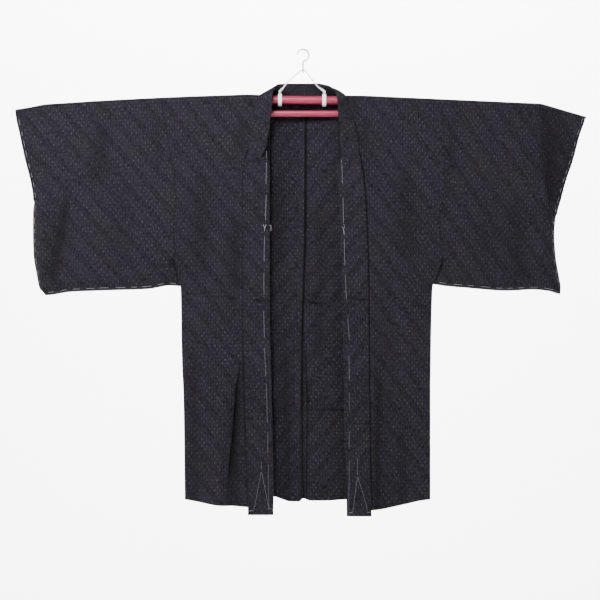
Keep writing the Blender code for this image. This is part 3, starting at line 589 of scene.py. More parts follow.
def panel(side, shares, across, inner, outer, hem):
    """Places of a hanging layer, from the bar to its hem, between its two side edges."""
    s, a = shares[:, None], across[None, :]
    x = lerp(inner(side, BAR_Z), outer(side, BAR_Z), a) + 0 * s
    for _ in range(6):
        z = lerp(ridge(x), hem_height(hem, x), s)
        x = lerp(inner(side, z), outer(side, z), a)
    return x, lerp(ridge(x), hem_height(hem, x), s)


def arc_rows(inner, outer, across):
    """Rows over the bar, from just past the front to just before the back."""
    turn = ARC_TURNS[:, None]
    x = lerp(inner(turn), outer(turn), across[None, :])
    radius = ridge_radius(x)
    return x, radius * np.cos(turn), ridge(x) + radius * np.sin(turn), turn


def stack(x, y, z):
    return np.stack(np.broadcast_arrays(x, y, z), -1)


def flat_lengths(x, along, tilt=0.0):
    """The place of each point on the flat cloth: across it, and along it from the bar."""
    return np.stack(np.broadcast_arrays(x * cos(tilt) + along * sin(tilt), along), -1)


def hanging_length(x, z):
    """Length of cloth from the top of the bar down to each place."""
    return ridge(x) - z + OVER_BAR * pi / 2


def bar_edge(side, turn):
    return side_edge(side, ridge(SIDE[side][0]) + OVER_BAR * np.sin(turn))


def body_grid(side):
    """One body length: front hem, over the bar, back hem; and how many rows the neck takes."""
    across = spread(BODY_WIDTH)
    if side == "left":
        across = across[(across < BESIDE_PLEAT[0]) | (across > BESIDE_PLEAT[-1])]
        across = np.union1d(across, BESIDE_PLEAT)
    else:
        across = np.union1d(across, BESIDE_SEAM)
    rows = round(BODY_DROP / ROW_STEP)
    shares = np.union1d(np.linspace(0, 1, rows), FOLDED_AWAY)[::-1]
    x, z = panel(side, shares, across, front_seam, side_edge, FRONT_HEM)
    front = stack(x, -body_out(side, "front", x, z), z)
    front_painted_shade, front_along = body_painted_shade(side, "front", x, z), hanging_length(x, z)

    def inner_arc(turn):
        drop = -OVER_BAR * np.sin(turn)
        back = NECK_CENTRE + SIDES[side] * smooth(BACK_NECK, "drop", "half", drop)
        top = NECK_CENTRE + SIDES[side] * BACK_NECK["half"][0]
        return np.where(turn < pi / 2, back, lerp(top, FRONT_SEAM[side][0], 2 * turn / pi - 1))

    ax, ay, az, turn = arc_rows(inner_arc, lambda turn: bar_edge(side, turn), across)
    bulge = layer_depth("back", ax, az) - OVER_BAR
    over = stack(ax, ay + np.where(turn < pi / 2, bulge * np.cos(turn) ** 2, 0.0), az)

    neck_top = float(ridge(NECK_CENTRE))
    neck_share = (neck_top - BAR_Z + NECK_DEPTH) / (neck_top - float(hem_height(BACK_HEM, 0)))
    neck = neck_share * (1 - np.linspace(1, 0, NECK_ROWS) ** 2)
    below = np.union1d(np.linspace(neck[-1], 1, rows), FOLDED_AWAY)[1:]
    x, z = panel(side, joined(neck, below), across, neck_edge, side_edge, BACK_HEM)
    back = stack(x, body_out(side, "back", x, z), z)
    # Painted shade of each point, with none over the bar.
    deep = joined(front_painted_shade, 0 * ax, body_painted_shade(side, "back", x, z))
    points = joined(front, over, back)
    along = joined(front_along, OVER_BAR * (turn - pi / 2) + 0 * ax, -hanging_length(x, z))
    return (points, flat_lengths(points[..., 0], along), deep), len(front) + len(over) + len(neck)


def sleeve_grid(side):
    """One sleeve: front lower edge, over the bar, back lower edge."""
    across = spread(SLEEVE_WIDTH)
    shares = np.union1d(np.linspace(0, 1, round(SLEEVE_DROP / STEP)), NEAR_SLEEVE_HEM)
    x, z = panel(side, shares, across, sleeve_edge, cuff_edge, SLEEVE_HEM)
    hem = hem_height(SLEEVE_HEM, x)
    front = stack(x, -sleeve_out(side, "front", x, z, hem), z)[::-1]
    back = stack(x, sleeve_out(side, "back", x, z, hem), z)
    # Painted shade: the armhole's line, with the layers' folds and creases.
    seam = armhole_line(x, sleeve_edge(side, z), z)
    front_painted_shade, back_painted_shade = (np.clip(painted_shade_map(layer, x, z) + seam, 0, 1) for layer in ("front", "back"))
    along = hanging_length(x, z)
    ax, ay, az, turn = arc_rows(lambda turn: bar_edge(side, turn) + SIDES[side] * SEAM,
                                lambda turn: CUFF[side][0] + 0 * turn, across)
    points = joined(front, stack(ax, ay, az), back)
    along = joined(along[::-1], OVER_BAR * (turn - pi / 2) + 0 * ax, -along)
    deep = joined(front_painted_shade[::-1], 0 * ax, back_painted_shade)
    return points, flat_lengths(points[..., 0], along, SIDES[side] * GRAIN_TILT), deep


def allowance_grid():
    """The centre seam's allowances, pressed to the left inside the back, as one strip."""
    z = np.linspace(*ALLOWANCE_SPAN, ALLOWANCE_ROWS)[:, None]
    off, rise = ALLOWANCE["x"][None, :], ALLOWANCE["rise"][None, :]
    seam = centre_seam(z)
    x = seam + off * (1 + ALLOWANCE_WANDER * ripple(z, z, 240, 41))
    y = layer_depth("back", seam, z) - rise * (1 + ALLOWANCE_LIFT * ripple(z * 0.2, z, 120, 43))
    run = np.broadcast_to(np.arange(off.size) * ALLOWANCE_STEP, x.shape)
    # Painted shade along the strip, darkest by its folded edge just past the seam.
    deep = bell(off - 1, ALLOWANCE_SHADE_WIDTH) + 0 * x
    return stack(x, y, z), flat_lengths(run, -(z + 0 * x)), deep


def gusset_grid(side):
    """The wedge between front and back, folded inward along its middle."""
    across = np.linspace(-1, 1, GUSSET_COLUMNS)[None, :]
    share = np.linspace(0, 1, GUSSET_ROWS)[:, None]
    z = lerp(GUSSET_TOP, hem_height(FRONT_HEM, SIDE[side][-1]) + 2, share)
    edge = side_edge(side, z)
    deep = smooth(GUSSET, "share", "deep", share) + GUSSET_WAVE * ripple(z, z * 0.3, 160, 21)
    x = edge - SIDES[side] * deep * (1 - np.abs(across) ** GUSSET_ROUND)
    front, back = body_out(side, "front", edge, z), body_out(side, "back", edge, z)
    half = (np.where(across < 0, front, back) - CLOTH - GUSSET_GAP) * np.abs(across) ** GUSSET_FULL
    points = stack(x, np.sign(across) * half, z)
    return points, flat_lengths(np.broadcast_to(across * GUSSET_WIDTH, x.shape), GUSSET_TOP - z)


def turnup_grid(side):
    """The turned-up hem, which lies inside a back panel and turns into it at the hem."""
    across = np.union1d(spread(TURNUP_WIDTH) * TURNUP_REACH, BESIDE_SEAM)[None, :]
    lift = CLOTH + TURNUP_GAP
    z = lerp(HEM_FOLD, BACK_HEM["z"].mean(), TURNUP_ROWS) + 0 * across
    for _ in range(5):
        x = lerp(neck_edge(side, z) + SIDES[side] * TURNUP_OFF_SEAM, side_edge(side, z), across)
        z = lerp(HEM_FOLD, hem_height(BACK_HEM, x) + TURNUP_OFF_HEM, TURNUP_ROWS)
    wave = 0.5 * ripple(x, z, 70, 31) + 0.5
    loose = ease((z - TURNUP_LOOSE_FROM) / TURNUP_LOOSE_OVER)
    points = stack(x, body_out(side, "back", x, z) - lift - wave * loose, z)
    turn = np.linspace(0, pi * 0.9, 5)[1:, None]
    fold = points[-1][None] + stack(0 * turn, lift / 2 * (1 - np.cos(turn)), -lift / 2 * np.sin(turn))
    # A painted shadow line along the turned-up hem's top edge, darker on the right.
    line = HEM_LINE_SHADE[side] * bell(HEM_FOLD - z, HEM_LINE_WIDTH, 4)
    deep = np.clip(body_painted_shade(side, "back", x, z) + line, 0, 1)
    deep = joined(deep, np.zeros(fold.shape[:2]))
    points = joined(points, fold)
    return points, flat_lengths(points[..., 0], points[..., 2] - HEM_FOLD), deep


def collar_half(side, neckline):
    """Sections of one half of the collar, from the middle of the back to its lower end.

    The band is folded outward along its whole length: soft and open round the neck, and
    pressed flat along the lapels. Its sections go from the sewn edge over the fold to
    the free edge, which lies on the seam.
    """
    run, z = distance_along(neckline), neckline[:, 2]
    roll, edge = (np.stack([smooth(COLLAR[side], "run", part + axis, run)
                            for axis in ("_x", "_y", "_z")], -1) for part in ("roll", "edge"))
    inward = -SIDES[side] * ALONG_X
    fold_x = smooth(LAPEL_EDGE, "z", side, z)
    free_x = front_seam(side, z) - SIDES[side] * smooth(FREE_EDGE_IN, "z", side, z)
    fold = stack(fold_x, LAPEL_SINK - layer_depth("front", fold_x, z), z)
    flat = ease((run - PRESSED_FROM) / PRESSED_OVER)[:, None]
    pressed = ease((run - CREASE_FROM) / CREASE_OVER)[:, None]
    top = -LAYER_RISE * ALONG_Y
    roll = lerp(roll, fold + top - inward * FOLD_IN, flat)
    edge = lerp(edge, stack(free_x, -layer_depth("front", free_x, z), z) + top, flat)

    n = len(neckline)
    ahead, behind = np.minimum(np.arange(n) + 3, n - 1), np.maximum(np.arange(n) - 3, 0)
    direction = unit(neckline[ahead] - neckline[behind])
    direction[0] = SIDES[side] * ALONG_X
    out = unit(stack(0 * z, neckline[:, 1], np.maximum(z - BAR_Z, 0)))
    across = unit(np.cross(direction, out)) * SIDES[side]
    band = unit(roll - neckline)
    standing = np.sqrt(np.maximum(1 - np.sum(band * across, -1) ** 2, 0))[:, None]
    over_bar = ease((z - BAR_Z + 5) / 5)[:, None]
    seat = neckline + across * (SEAM + BAND / 2 * standing) + out * BAR_LIFT * over_bar
    seat[2:-2] = (seat[:-4] + seat[1:-3] + seat[2:-2] + seat[3:-1] + seat[4:]) / 5

    to_seat, to_edge = unit(seat - roll), unit(edge - roll)
    both = to_seat + to_edge
    apart = (edge - seat) - both * np.sum((edge - seat) * both, -1, keepdims=True) / 4
    apart = unit(apart) * lerp(ROLL_FOLD, LAYER_RISE / 2, flat)
    tip = lerp(ROLL_TIP, FOLD_IN, flat)
    over = roll - both * lerp(*ROLL_BULGE, flat)
    low = lerp(roll + to_seat * tip - apart, fold - inward * FOLD_IN, pressed)
    crease = lerp(over - apart / 2, fold + top / 2 + inward * CREASE_OUT, pressed)
    bent = lerp(roll + to_edge * tip + apart, roll + to_edge * BEND_OUT, pressed)
    lip = inward * LIP_DEPTH
    ridge_line = lerp(over + apart / 2, roll + lip * LIP_ROUND, pressed)
    lapped = pressed * (1 - flat)
    under = stack(roll[:, 0], fold[:, 1] - LAYER_RISE - LIP_LIFT, roll[:, 2]) - lip
    tuck = lerp((crease * 2 + ridge_line) / 3, under, lapped)
    returned = lerp(under, roll, LIP_RETURN[0]) + lip * LIP_RETURN[1]
    back_up = lerp((crease + ridge_line * 2) / 3, returned, lapped)
    guides = [seat, seat, lerp(seat, low, 0.3), lerp(seat, low, 0.7), low, crease, tuck, back_up,
              ridge_line, bent, lerp(bent, edge, 0.35), lerp(bent, edge, 0.7), edge, edge]
    sections = curve_rows(np.stack(guides, 1), BAND_COLUMNS)

    pressed_in = troughs(LAPEL_CREASES, sections[..., 0], sections[..., 2])
    sections[..., 1] += LAPEL_DENT * pressed_in
    column = np.arange(sections.shape[1])
    # Painted shade on the band: in its creases, along its pressed fold, as shadow in the corners inside
    # the neck, and on the lapels' lower ends.
    deep = CREASE_SHADE * pressed_in
    deep += FOLD_EDGE_SHADE * pressed * bell(column - 5 * BAND_COLUMNS, LINE_WIDTH)
    neck = ease((run - NECK_SHADE_FROM[side]) / NECK_SHADE_OVER)
    neck *= 1 - ease((run - NECK_SHADE_END) / NECK_SHADE_FADE)
    deep += NECK_SHADE * neck[:, None] * (column < 4 * BAND_COLUMNS)
    below = LAPEL_BELOW_HEM[side] * LAPEL_END_ROWS
    deep = joined(deep, deep[[-1] * len(below)] + LAPEL_END_SHADE[:, None])
    lower = sections[-1] - below[:, None, None] * ALONG_Z
    return joined(sections, lower), joined(run, run[-1] + below), deep


def curve_rows(guides, per_span):
    """A soft curve for each row of guide points, which it starts and ends at."""
    first = guides[:, :1] * 2 - guides[:, 1:2]
    last = guides[:, -1:] * 2 - guides[:, -2:-1]
    g = joined(first, guides, last, axis=1)
    t = np.linspace(0, 1, per_span, endpoint=False)[None, None, :, None]
    a, b, c, d = (g[:, k:k + g.shape[1] - 3, None] for k in range(4))
    spans = (a * (1 - t) ** 3 + b * (3 * t ** 3 - 6 * t ** 2 + 4)
             + c * (-3 * t ** 3 + 3 * t ** 2 + 3 * t + 1) + d * t ** 3) / 6
    rows = spans.reshape(len(guides), -1, 3)
    return joined(rows, guides[:, -1:], axis=1)


def resample(guides, count):
    """Evenly spaced points on a smooth curve through a few guide points."""
    guides = np.array(guides, float)
    chord = distance_along(guides)
    tangent = np.gradient(guides, chord, axis=0)
    i, width, t = span_at(chord, np.linspace(0, chord[-1], count))
    return curve(t[:, None], width[:, None], guides[i], tangent[i], guides[i + 1], tangent[i + 1])


def collar_grid(left_neck, right_neck):
    """The whole band, from the left hem round the neck to the right hem."""
    left, left_run, left_painted_shade = collar_half("left", left_neck)
    right, right_run, right_painted_shade = collar_half("right", right_neck)
    middle = (left[0] + right[0])[None] / 2
    points = joined(left[:0:-1], middle, right[1:])
    # Painted shade of the whole band.
    deep = np.clip(joined(left_painted_shade[::-1], right_painted_shade[1:]), 0, 1)
    run = joined(left_run[:0:-1], [0], right_run[1:])
    width = np.linalg.norm(np.diff(points, axis=1), axis=2)
    across = joined(np.zeros((len(points), 1)), np.cumsum(width, axis=1), axis=1)
    return points, flat_lengths(across, -np.broadcast_to(run[:, None], across.shape)), deep


# ------------------------------------------------------------------ nodes and materials

class Tree:
    """Short ways to place and join shader nodes."""

    def __init__(self, tree):
        self.tree = tree

    def fill(self, node, values):
        """Values or sockets for a node's inputs, by name or in order."""
        for socket, value in (values.items() if isinstance(values, dict) else enumerate(values)):
            if isinstance(value, bpy.types.NodeSocket):
                self.tree.links.new(value, node.inputs[socket])
            else:
                node.inputs[socket].default_value = value

    def add(self, kind, values=(), **settings):
        """A node with its settings and inputs."""
        node = self.tree.nodes.new(kind)
        for name, value in settings.items():
            setattr(node, name, value)
        self.fill(node, values)
        return node

    def group(self, group, values):
        return self.add("ShaderNodeGroup", values, node_tree=group).outputs

    def place(self):
        """Places in the object's own frame, in metres."""
        return self.add("ShaderNodeTexCoord").outputs["Object"]

    def parts(self, vector):
        return self.add("ShaderNodeSeparateXYZ", (vector,)).outputs

    def math(self, operation, *values):
        return self.add("ShaderNodeMath", values, operation=operation).outputs[0]

    def times(self, one, two):
        return self.math("MULTIPLY", one, two)

    def span(self, value, low, high, to_low=0.0, to_high=1.0):
        """A value mapped smoothly from one span to another, and held at its ends."""
        return self.add("ShaderNodeMapRange", (value, low, high, to_low, to_high),
                        interpolation_type="SMOOTHSTEP").outputs[0]

    def mix(self, share, one, two, blend="MIX"):
        values = {0: share, 6: colour(one), 7: colour(two)}
        return self.add("ShaderNodeMix", values, data_type="RGBA", blend_type=blend).outputs[2]

    def stretch(self, vector, *scale):
        return self.add("ShaderNodeVectorMath", (vector, scale), operation="MULTIPLY").outputs[0]

    def noise(self, vector, scale, detail=2.0, rough=0.5):
        return self.add("ShaderNodeTexNoise", {"Vector": vector, "Scale": scale, "Detail": detail,
                                               "Roughness": rough}).outputs["Fac"]

    def bump(self, height, distance, strength=1.0):
        return self.add("ShaderNodeBump", {"Strength": strength, "Distance": distance,
                                           "Height": height}).outputs[0]


def colour(value):
    return (*value, 1.0) if isinstance(value, tuple) else value


def shade(value, share):
    return tuple(share * part for part in value)


def shader_group(name, inputs, outputs):
    """An empty node group: its tree, the sockets that it is given and its last node."""
    group = bpy.data.node_groups.new(name, "ShaderNodeTree")
    for socket, kind in inputs.items():
        group.interface.new_socket(socket, in_out="INPUT", socket_type=kind)
    for socket in outputs:
        group.interface.new_socket(socket, in_out="OUTPUT", socket_type="NodeSocketFloat")
    t = Tree(group)
    return t, t.add("NodeGroupInput").outputs, t.add("NodeGroupOutput")


DOT_ACROSS = 0.0124        # spacing of the pale dots, across and along the cloth
DOT_ALONG = 0.0164
DOT_HALF_WIDTH = 0.00115
DOT_HALF_LENGTH = 0.0024
BARE_ROW = 4.0             # every fourth diagonal row of dots is left almost bare
THREAD_PITCH = 0.00055
SLUB_LONG, SLUB_SHORT = 360.0, 110.0           # how close slubs lie, across and along a thread
WEFT_SHORT = 100.0
BLOTCHES = 13.0            # how close the olive blotches, maroon ones and fadings lie
MAROONS = 3.0
FADINGS = 8.0
VIOLET = (0.0080, 0.0068, 0.0103)
OLIVE = (0.0078, 0.0075, 0.0088)
MAROON = (0.0105, 0.0075, 0.0100)
STRIPE = (0.0166, 0.0150, 0.0214)
PALE_DOT = (0.0410, 0.0382, 0.0475)
# Near-black towards which painted shade darkens the cloth.
PAINTED_SHADE_COLOUR = (0.0009, 0.0008, 0.0012)
# A greyer and a brighter white for the same basting thread: the greyer on the lapels and the right loop's
# ties, the brighter on the sleeves and the left loop's ties.
BASTING_WHITE = (0.20, 0.20, 0.222)
BRIGHTER_BASTING_WHITE = (0.32, 0.32, 0.345)
CORD_WHITE = (0.95, 0.95, 0.94)
LOOP_DARK = (0.012, 0.0105, 0.015)
CRIMSON = (0.27, 0.016, 0.050)
RING_WHITE = (0.97, 0.97, 0.96)
THREAD_TWIST = 0.0012      # distance between two turns of a twisted thread
BRAID_TWIST = 0.0016
CORD_TWIST = 0.0021


def dots_group():
    """Pale dots woven in diagonal rows, of which every fourth is almost bare."""
    t, given, end = shader_group("woven dots", {"Cloth": "NodeSocketVector"}, ("Dots", "Ground"))
    place, wander = t.parts(given["Cloth"]), t.noise(given["Cloth"], 90.0, 1.0)
    across = t.math("MULTIPLY_ADD", place[0], 1 / DOT_ACROSS, t.span(wander, 0, 1, -0.12, 0.12))
    along = t.math("MULTIPLY_ADD", place[1], 1 / DOT_ALONG, t.span(wander, 0, 1, 0.08, -0.08))
    masks = []
    for shift in (0.0, 0.5):
        u, v = t.math("ADD", across, shift), t.math("ADD", along, shift)
        cell_u, cell_v = t.math("FLOOR", u), t.math("FLOOR", v)
        cell = t.add("ShaderNodeCombineXYZ", (cell_u, cell_v, shift * 7)).outputs[0]
        chance = t.add("ShaderNodeTexWhiteNoise", {"Vector": cell}).outputs["Value"]
        far = [t.math("POWER", t.times(t.math("SUBTRACT", t.math("FRACT", part), 0.5), share), 2.0)
               for part, share in ((u, DOT_ACROSS / DOT_HALF_WIDTH), (v, DOT_ALONG / DOT_HALF_LENGTH))]
        dot = t.span(t.math("ADD", *far), 0.2, 1.5, 1.0, 0.0)
        row = t.math("FLOORED_MODULO", t.math("SUBTRACT", cell_u, cell_v), BARE_ROW)
        bare = t.math("MULTIPLY_ADD", t.math("LESS_THAN", row, 0.5), -0.75, 1.0)
        masks.append(t.times(dot, t.times(t.span(chance, 0, 1, 0.35, 1.0), bare)))
    row = t.times(t.math("SUBTRACT", across, along), 2 * pi / BARE_ROW)
    t.fill(end, {"Dots": t.math("MAXIMUM", *masks),
                 "Ground": t.span(t.math("COSINE", row), -0.3, 0.9, 1.0, 0.0)})
    return t.tree


def weave_group():
    """A plain weave with slubs: its height, and how light each thread looks, from the slubs' own tone,
    with painted shade where the weave dips.
    """
    t, given, end = shader_group("plain weave", {"Cloth": "NodeSocketVector"}, ("Height", "Light"))
    checks = t.times(*(t.math("SINE", t.times(axis, 2 * pi / THREAD_PITCH))
                       for axis in t.parts(given["Cloth"])[:2]))
    warp = t.noise(t.stretch(given["Cloth"], SLUB_LONG, SLUB_SHORT, 1.0), 1.0, 2.0, 0.6)
    weft = t.noise(t.stretch(given["Cloth"], WEFT_SHORT, SLUB_LONG, 1.0), 1.0, 2.0, 0.6)
    slubs = t.math("ADD", t.times(warp, 0.62), t.times(weft, 0.38))
    t.fill(end, {"Height": t.math("MULTIPLY_ADD", checks, 0.25, slubs),
                 "Light": t.math("MULTIPLY_ADD", checks, 0.12, t.span(slubs, 0.33, 0.67))})
    return t.tree


def twist_group():
    """The slanting lines of a twisted thread, and its loose fibres."""
    t, given, end = shader_group("thread twist", {"Place": "NodeSocketVector",
                                                  "Pitch": "NodeSocketFloat"}, ("Height",))
    fibres, parts = t.noise(given["Place"], 900.0, 3.0), t.parts(given["Place"])
    slant = t.math("ADD", t.math("ADD", parts[0], parts[1]), parts[2])
    turns = t.math("DIVIDE", t.times(slant, 2 * pi), given["Pitch"])
    t.fill(end, (t.math("MULTIPLY_ADD", t.math("SINE", turns), 0.25, fibres),))
    return t.tree


def moulding_group():
    """The cloudy unevenness of moulded plastic, and its faint scratches."""
    t, given, end = shader_group("moulding marks", {"Place": "NodeSocketVector"},
                                 ("Clouds", "Scratches"))
    fine = t.stretch(given["Place"], 30.0, 900.0, 900.0)
    t.fill(end, (t.noise(given["Place"], 35.0, 3.0), t.noise(fine, 1.0, 2.0)))
    return t.tree


def material(name):
    """A new material: its node tree and its Principled shader."""
    made = bpy.data.materials.new(name)
    made.use_nodes = True
    return made, Tree(made.node_tree), made.node_tree.nodes["Principled BSDF"]


def haori_cloth(dots, weave):
    made, t, shader = material("haori cloth")
    flat = t.add("ShaderNodeUVMap", uv_map="cloth").outputs[0]
    woven, dotted = t.group(weave, {"Cloth": flat}), t.group(dots, {"Cloth": flat})
    maroon = t.noise(t.stretch(flat, 7.0, 3.0, 1.0), MAROONS, 2.0)
    dye = t.mix(t.span(t.noise(flat, BLOTCHES, 3.0), 0.50, 0.66), VIOLET, OLIVE)
    dye = t.mix(t.span(maroon, 0.56, 0.78, 0.0, 0.5), dye, MAROON)
    # Lighter and darker threads: the slubs' own tone, and painted shade where the weave dips.
    slubs_and_weave_shade = t.mix(t.span(woven["Light"], 0.1, 0.9), (0.40, 0.40, 0.40), (1.68, 1.68, 1.68))
    dye = t.mix(1.0, dye, slubs_and_weave_shade, "MULTIPLY")
    faded = t.span(t.noise(flat, FADINGS, 2.0), 0.3, 0.7, 0.06, 0.26)
    dye = t.mix(t.times(dotted["Ground"], faded), dye, STRIPE)
    shown = t.times(dotted["Dots"], t.span(woven["Light"], 0, 1, 0.55, 1))
    # Painted shade: the pieces' painted shade attribute darkens the cloth's colour towards a near-black.
    deep = t.add("ShaderNodeAttribute", attribute_name="painted_shade").outputs["Fac"]
    t.fill(shader, {"Base Color": t.mix(deep, t.mix(shown, dye, PALE_DOT), PAINTED_SHADE_COLOUR),
                    "Roughness": t.span(woven["Light"], 0, 1, 0.92, 0.78),
                    "Normal": t.bump(woven["Height"], 0.0004, 0.7),
                    "Sheen Weight": 0.025, "Sheen Roughness": 0.5, "Specular IOR Level": 0.1})
    return made


def twisted_thread(name, twist, tint, pitch, sheen=0.2):
    """Cotton thread or cord: the slanting lines of its twist as a bump, with painted shade darkening its
    colour in the twist's grooves, and uneven along its loose fibres.
    """
    made, t, shader = material(name)
    height = t.group(twist, {"Place": t.place(), "Pitch": pitch})[0]
    t.fill(shader, {"Base Color": t.mix(t.span(height, 0.1, 0.9), shade(tint, 0.72), tint),
                    "Normal": t.bump(height, 0.0003), "Roughness": 0.85,
                    "Specular IOR Level": 0.15, "Sheen Weight": sheen})
    return made


def moulded_plastic(name, marks, tint, rough, shine):
    """Moulded plastic: a little unevenness in its colour and gloss, and faint scratches."""
    made, t, shader = material(name)
    cloudy, scratches = t.group(marks, {"Place": t.place()})
    t.fill(shader, {"Base Color": t.mix(t.span(cloudy, 0.3, 0.7), shade(tint, 0.86), tint),
                    "Roughness": t.span(scratches, 0.3, 0.75, rough, rough + 0.14),
                    "Normal": t.bump(t.math("ADD", cloudy, scratches), 0.00012, 0.5),
                    "Specular IOR Level": shine})
    return made


def drawn_steel(name):
    made, t, shader = material(name)
    lines = t.noise(t.stretch(t.place(), 1400.0, 1400.0, 90.0), 1.0, 2.0)
    t.fill(shader, {"Base Color": t.mix(lines, (0.50, 0.50, 0.51), (0.66, 0.66, 0.67)),
                    "Roughness": t.span(lines, 0.2, 0.8, 0.22, 0.38),
                    "Normal": t.bump(lines, 0.00005), "Metallic": 1.0})
    return made


# ------------------------------------------------------------------ making pieces

def placed(name, data):
    """A new object in the scene."""
    thing = bpy.data.objects.new(name, data)
    bpy.context.scene.collection.objects.link(thing)
    return thing


def new_piece(name, mesh, finish, replaced=()):
    """A piece that rides with the part, and stands for the nodes that it replaces."""
    mesh.materials.append(finish)
    mesh.shade_smooth()
    piece = placed(name, mesh)
    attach(piece, "root")
    if replaced:
        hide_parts(*replaced)
    return piece


def node_box(node):
    """Lowest and highest corner of a solid."""
    return [Vector(corner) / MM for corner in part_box(node)]


def clean(mesh, merge=0.0):
    """Join the points that lie nearer than merge, or else turn all faces outward."""
    bm = bmesh.new()
    bm.from_mesh(mesh)
    if merge:
        bmesh.ops.remove_doubles(bm, verts=bm.verts, dist=merge)
    else:
        bmesh.ops.recalc_face_normals(bm, faces=bm.faces)
    bm.to_mesh(mesh)
    bm.free()
    return mesh


def cloth_piece(name, grid, thickness, finish, replaced=()):
    """A shell of cloth on a grid of points, with its place on the flat cloth as its UV, and any painted
    shade given with the grid as a point attribute.
    """
    points, flat, *deep = grid
    rows, columns = points.shape[:2]
    index = np.arange(rows * columns).reshape(rows, columns)
    quads = np.stack((index[:-1, :-1], index[:-1, 1:], index[1:, 1:], index[1:, :-1]), -1)
    quads, points = quads.reshape(-1, 4), points.reshape(-1, 3)
    mesh = bpy.data.meshes.new(name)
    mesh.from_pydata((points * MM).tolist(), [], quads.tolist())
    layer = mesh.uv_layers.new(name="cloth")
    layer.data.foreach_set("uv", (flat.reshape(-1, 2)[quads.ravel()] * MM).ravel())
    # The painted shade for each point, which darkens the cloth's colour.
    painted_shade = mesh.attributes.new("painted_shade", "FLOAT", "POINT")
    if deep:
        painted_shade.data.foreach_set("value", deep[0].ravel())
    piece = new_piece(name, clean(mesh, 0.00002), finish, replaced)
    wall = piece.modifiers.new("wall", "SOLIDIFY")
    wall.thickness = thickness * MM
    wall.offset = 0.0
    return piece, BVHTree.FromPolygons(points.tolist(), quads.tolist())


def frames(path):
    """The direction of a path at each point, and two directions across it that don't spin."""
    ahead = unit(np.gradient(path, axis=0))
    side = ALONG_Y if abs(ahead[0][1]) < 0.8 else ALONG_X
    sides = []
    for along in ahead:
        side = unit(side - along * (side @ along))
        sides.append(side)
    return ahead, np.array(sides), np.cross(ahead, sides)


def tube_mesh(name, tubes, sides):
    """One mesh of round tubes with domed ends, each from its path and radius."""
    verts, faces = [], []
    turns = np.linspace(0, 2 * pi, sides, endpoint=False)[:, None]
    for path, radius in tubes:
        path = np.array([tuple(p) for p in path], float)
        ahead, side, up = frames(path)
        ring = np.cos(turns) * side[:, None] + np.sin(turns) * up[:, None]
        first, last = (path[end] + way * ahead[end] * radius * 0.6 + ring[end] * radius * 0.55
                       for end, way in ((0, -1), (-1, 1)))
        rings = joined(first[None], path[:, None] + ring * radius, last[None])
        start = len(verts)
        verts += (rings * MM).reshape(-1, 3).tolist()
        for r in range(len(rings) - 1):
            for s in range(sides):
                a, b = start + r * sides + s, start + r * sides + (s + 1) % sides
                faces.append((a, b, b + sides, a + sides))
        faces.append(tuple(range(start, start + sides))[::-1])
        faces.append(tuple(range(len(verts) - sides, len(verts))))
    mesh = bpy.data.meshes.new(name)
    mesh.from_pydata(verts, [], faces)
    return clean(mesh)


def turned_mesh(name, profile, place, closed, around=64):
    """A mesh turned from a profile, whose points place() puts at each turn."""
    count = len(profile)
    verts = [place(one, two, 2 * pi * k / around) for k in range(around) for one, two in profile]
    faces = []
    for k in range(around):
        for p in range(count if closed else count - 1):
            a, b = k * count + p, k * count + (p + 1) % count
            faces.append((a, (a + count) % len(verts), (b + count) % len(verts), b))
    mesh = bpy.data.meshes.new(name)
    mesh.from_pydata(verts, [], faces)
    return mesh


def touch(tree, x, z, lift, front=True):
    """The place at x, z that lies a little off a cloth's outer face."""
    way = 1.0 if front else -1.0
    place, normal, _, _ = tree.ray_cast(Vector((x, -200.0 * way, z)), Vector((0, way, 0)))
    if place is None:
        return None
    if normal.y * way > 0:
        normal = -normal
    return place + normal * lift


# ------------------------------------------------------------------ basting stitches

THREAD = 0.27              # radius of the white basting thread
SUNK = 0.9                 # how deep its ends go into the cloth

# Guide lines of the long basting on the lapels, and the lengths of thread that lie on
# top, from the first height to the second, with how thick the worn thread still is.
LAPEL_THREAD = {
    "left": table(
        "z x",
        (-241, -87.6), (-412, -89.0), (-444, -91.6), (-632, -93.3), (-716, -92.1), (-797, -88.5),
        (-881, -85.2), (-962, -83.3), (-1046, -81.6), (-1110, -81.0)),
    "right": table("z x", (-262, 91.6), (-574, 102.6), (-694, 109.8), (-1100, 109.8))}
LAPEL_DASHES = {
    "left": ((-241, -263, 1.5), (-265, -326, 1.6), (-346, -412, 1.6), (-444, -512, 1.4),
             (-531, -591, 1.2), (-622, -693, 1.1), (-708, -786, 0.8), (-793, -896, 0.8),
             (-910, -970, 0.75), (-987, -1099, 0.7)),
    "right": ((-261, -326, 1.3), (-351, -420, 1.3), (-450, -520, 1.2), (-537, -599, 1.0),
              (-638, -700, 0.8), (-728, -796, 0.8), (-812, -868, 0.5), (-908, -960, 0.7),
              (-977, -1104, 0.7))}

# The triangle basted at each lapel's lower end: its stem, its two feet and the short
# stitches beside them, each from one place to another.
LAPEL_END = {
    "left": table(
        "x0 z0 x1 z1",
        (-99.5, -981, -99.5, -1007), (-99.5, -1007, -117.2, -1103), (-99.5, -1007, -81.2, -1098),
        (-130, -1103, -117.5, -1102), (-85.5, -1097, -74.5, -1097)),
    "right": table(
        "x0 z0 x1 z1",
        (129.8, -973, 129.8, -1019), (129.8, -1019, 118.1, -1110), (129.8, -1019, 155.0, -1104),
        (108.5, -1107.5, 118, -1107), (151.5, -1105.5, 161.5, -1104.5)),
}

